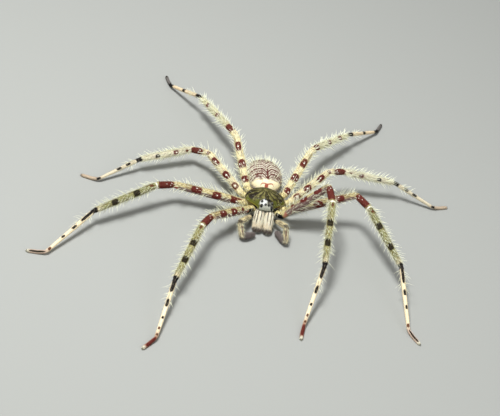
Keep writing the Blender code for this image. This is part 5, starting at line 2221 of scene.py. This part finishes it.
    def build_claws(self) -> None:
        """Makes the two small curved claws at the foot's tip."""
        tip, before = self.spots[-1], self.spots[-2]
        way = unit(tip - before)
        side = unit(np.cross(way, UP))
        meshes = []
        for sign in (-1, 1):
            root = tip - way * 0.25 * MM + side * sign * 0.1 * MM + UP * 0.1 * MM
            spots = [root, root + way * 0.3 * MM + UP * 0.05 * MM,
                     root + way * 0.45 * MM - UP * 0.25 * MM]
            widths = [(0.0, 0.06 * MM), (0.5, 0.05 * MM), (1.0, 0.012 * MM)]
            tube = Tube(spots, [0.0, 0.5, 1.0], widths, 0.1 * MM, spacing=0.03 * MM, sides=10)
            meshes.append(tube.sheet().mesh("claw"))
        settle(f"{self.name}_claws", joined("claws", meshes), CLAW_HORN.dress(), "foot")


@dataclass(frozen=True)
class Studio:
    """The floor, the lights and the camera at the photograph's angle."""

    origin: Array
    elevation: float = 40.0
    azimuth: float = -8.7
    roll: float = 16.6
    distance: float = 0.4
    target_z: float = 4.0 * MM
    target_pixel: Span = (265.5, 200.6)
    image_size: Span = (500.0, 416.0)
    pixels_per_metre: float = 3960.0
    sensor: float = 36.0
    floor: Paint = paint(160, 162, 158)
    surroundings: float = 0.38

    def axes(self) -> tuple[Vector, Vector, Vector]:
        """How the camera is turned.

        Returns:
            Its right, up and backward directions.
        """
        rise, turn, roll = (math.radians(v) for v in (self.elevation, self.azimuth, self.roll))
        back = Vector((
            math.sin(turn) * math.cos(rise), -math.cos(turn) * math.cos(rise), math.sin(rise)
        ))
        level = Vector((math.cos(turn), math.sin(turn), 0.0))
        upward = back.cross(level)
        right = math.cos(roll) * level + math.sin(roll) * upward
        up = -math.sin(roll) * level + math.cos(roll) * upward
        return right, up, back

    def build_camera(self) -> None:
        """Sets the camera so that the body's middle falls on its pixel."""
        right, up, back = self.axes()
        aside = (self.target_pixel[0] - self.image_size[0] / 2) / self.pixels_per_metre
        above = (self.image_size[1] / 2 - self.target_pixel[1]) / self.pixels_per_metre
        target = Vector(self.origin) + Vector((0.0, 0.0, self.target_z))
        place = target - aside * right - above * up + self.distance * back
        data = bpy.data.cameras.new("camera")
        data.sensor_width = self.sensor
        data.lens = self.sensor * self.pixels_per_metre * self.distance / self.image_size[0]
        data.clip_start, data.clip_end = 0.01, 10.0
        camera = bpy.data.objects.new("camera", data)
        bpy.context.collection.objects.link(camera)
        facing = Matrix((right, up, back)).transposed().to_4x4()
        camera.matrix_world = Matrix.Translation(place) @ facing
        bpy.context.scene.camera = camera

    def build_floor(self) -> None:
        """Makes the plain pale floor."""
        bm = bmesh.new()
        bmesh.ops.create_grid(bm, x_segments=1, y_segments=1, size=1.5)
        floor = mesh_object("floor", finished(bm, "floor"))
        shader = Shader("floor_paper")
        shader.finish(self.floor, 0.9, Specular_IOR_Level=0.1)
        floor.data.materials.append(shader.material)

    def build_light(self, name: str, place: Spot, size: float, power: float) -> None:
        """Makes one soft light that faces the spider.

        Args:
            name: Its name.
            place: Where it stands, from the body's origin.
            size: Its width.
            power: Its power in watts.
        """
        data = bpy.data.lights.new(name, "AREA")
        data.size, data.energy = size, power
        light = bpy.data.objects.new(name, data)
        bpy.context.collection.objects.link(light)
        light.location = Vector(self.origin) + Vector(place)
        light.rotation_euler = Vector(place).to_track_quat("Z", "Y").to_euler()

    def build(self) -> None:
        """Makes the camera, the floor, the lights and the pale surroundings."""
        self.build_camera()
        self.build_floor()
        self.build_light("key_light", place=(-0.12, -0.02, 0.38), size=0.1, power=2.0)
        self.build_light("fill_light", place=(0.3, -0.25, 0.25), size=0.3, power=0.4)
        world = bpy.data.worlds.new("studio")
        world.use_nodes = True
        background = world.node_tree.nodes["Background"]
        background.inputs["Color"].default_value = (1, 1, 1, 1)
        background.inputs["Strength"].default_value = self.surroundings
        bpy.context.scene.world = world
        bpy.context.scene.view_settings.view_transform = "Standard"


def body_origin() -> Array:
    """Where the body's own origin stands in the frame, read from the box of the plate below."""
    low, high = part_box("sternum")
    return np.array([(low.x + high.x) / 2, (low.y + high.y) / 2 - Underside.centre_y, 0.0])


def main() -> None:
    """Builds the studio and the spider."""
    logging.basicConfig(level=logging.INFO, format="%(name)s %(message)s")
    origin = body_origin()
    Studio(origin).build()
    Shield(origin).build()
    Underside(origin).build()
    Abdomen(origin).build()
    for side in Side:
        Jaw(origin, side).build()
        Palp(origin, side).build()
    for pair in PAIRS:
        looks = {layer: pair.finish.dress(layer) for layer in Layer}
        for side in Side:
            Leg(origin, side, pair).build(looks)


if __name__ == "__main__":
    main()
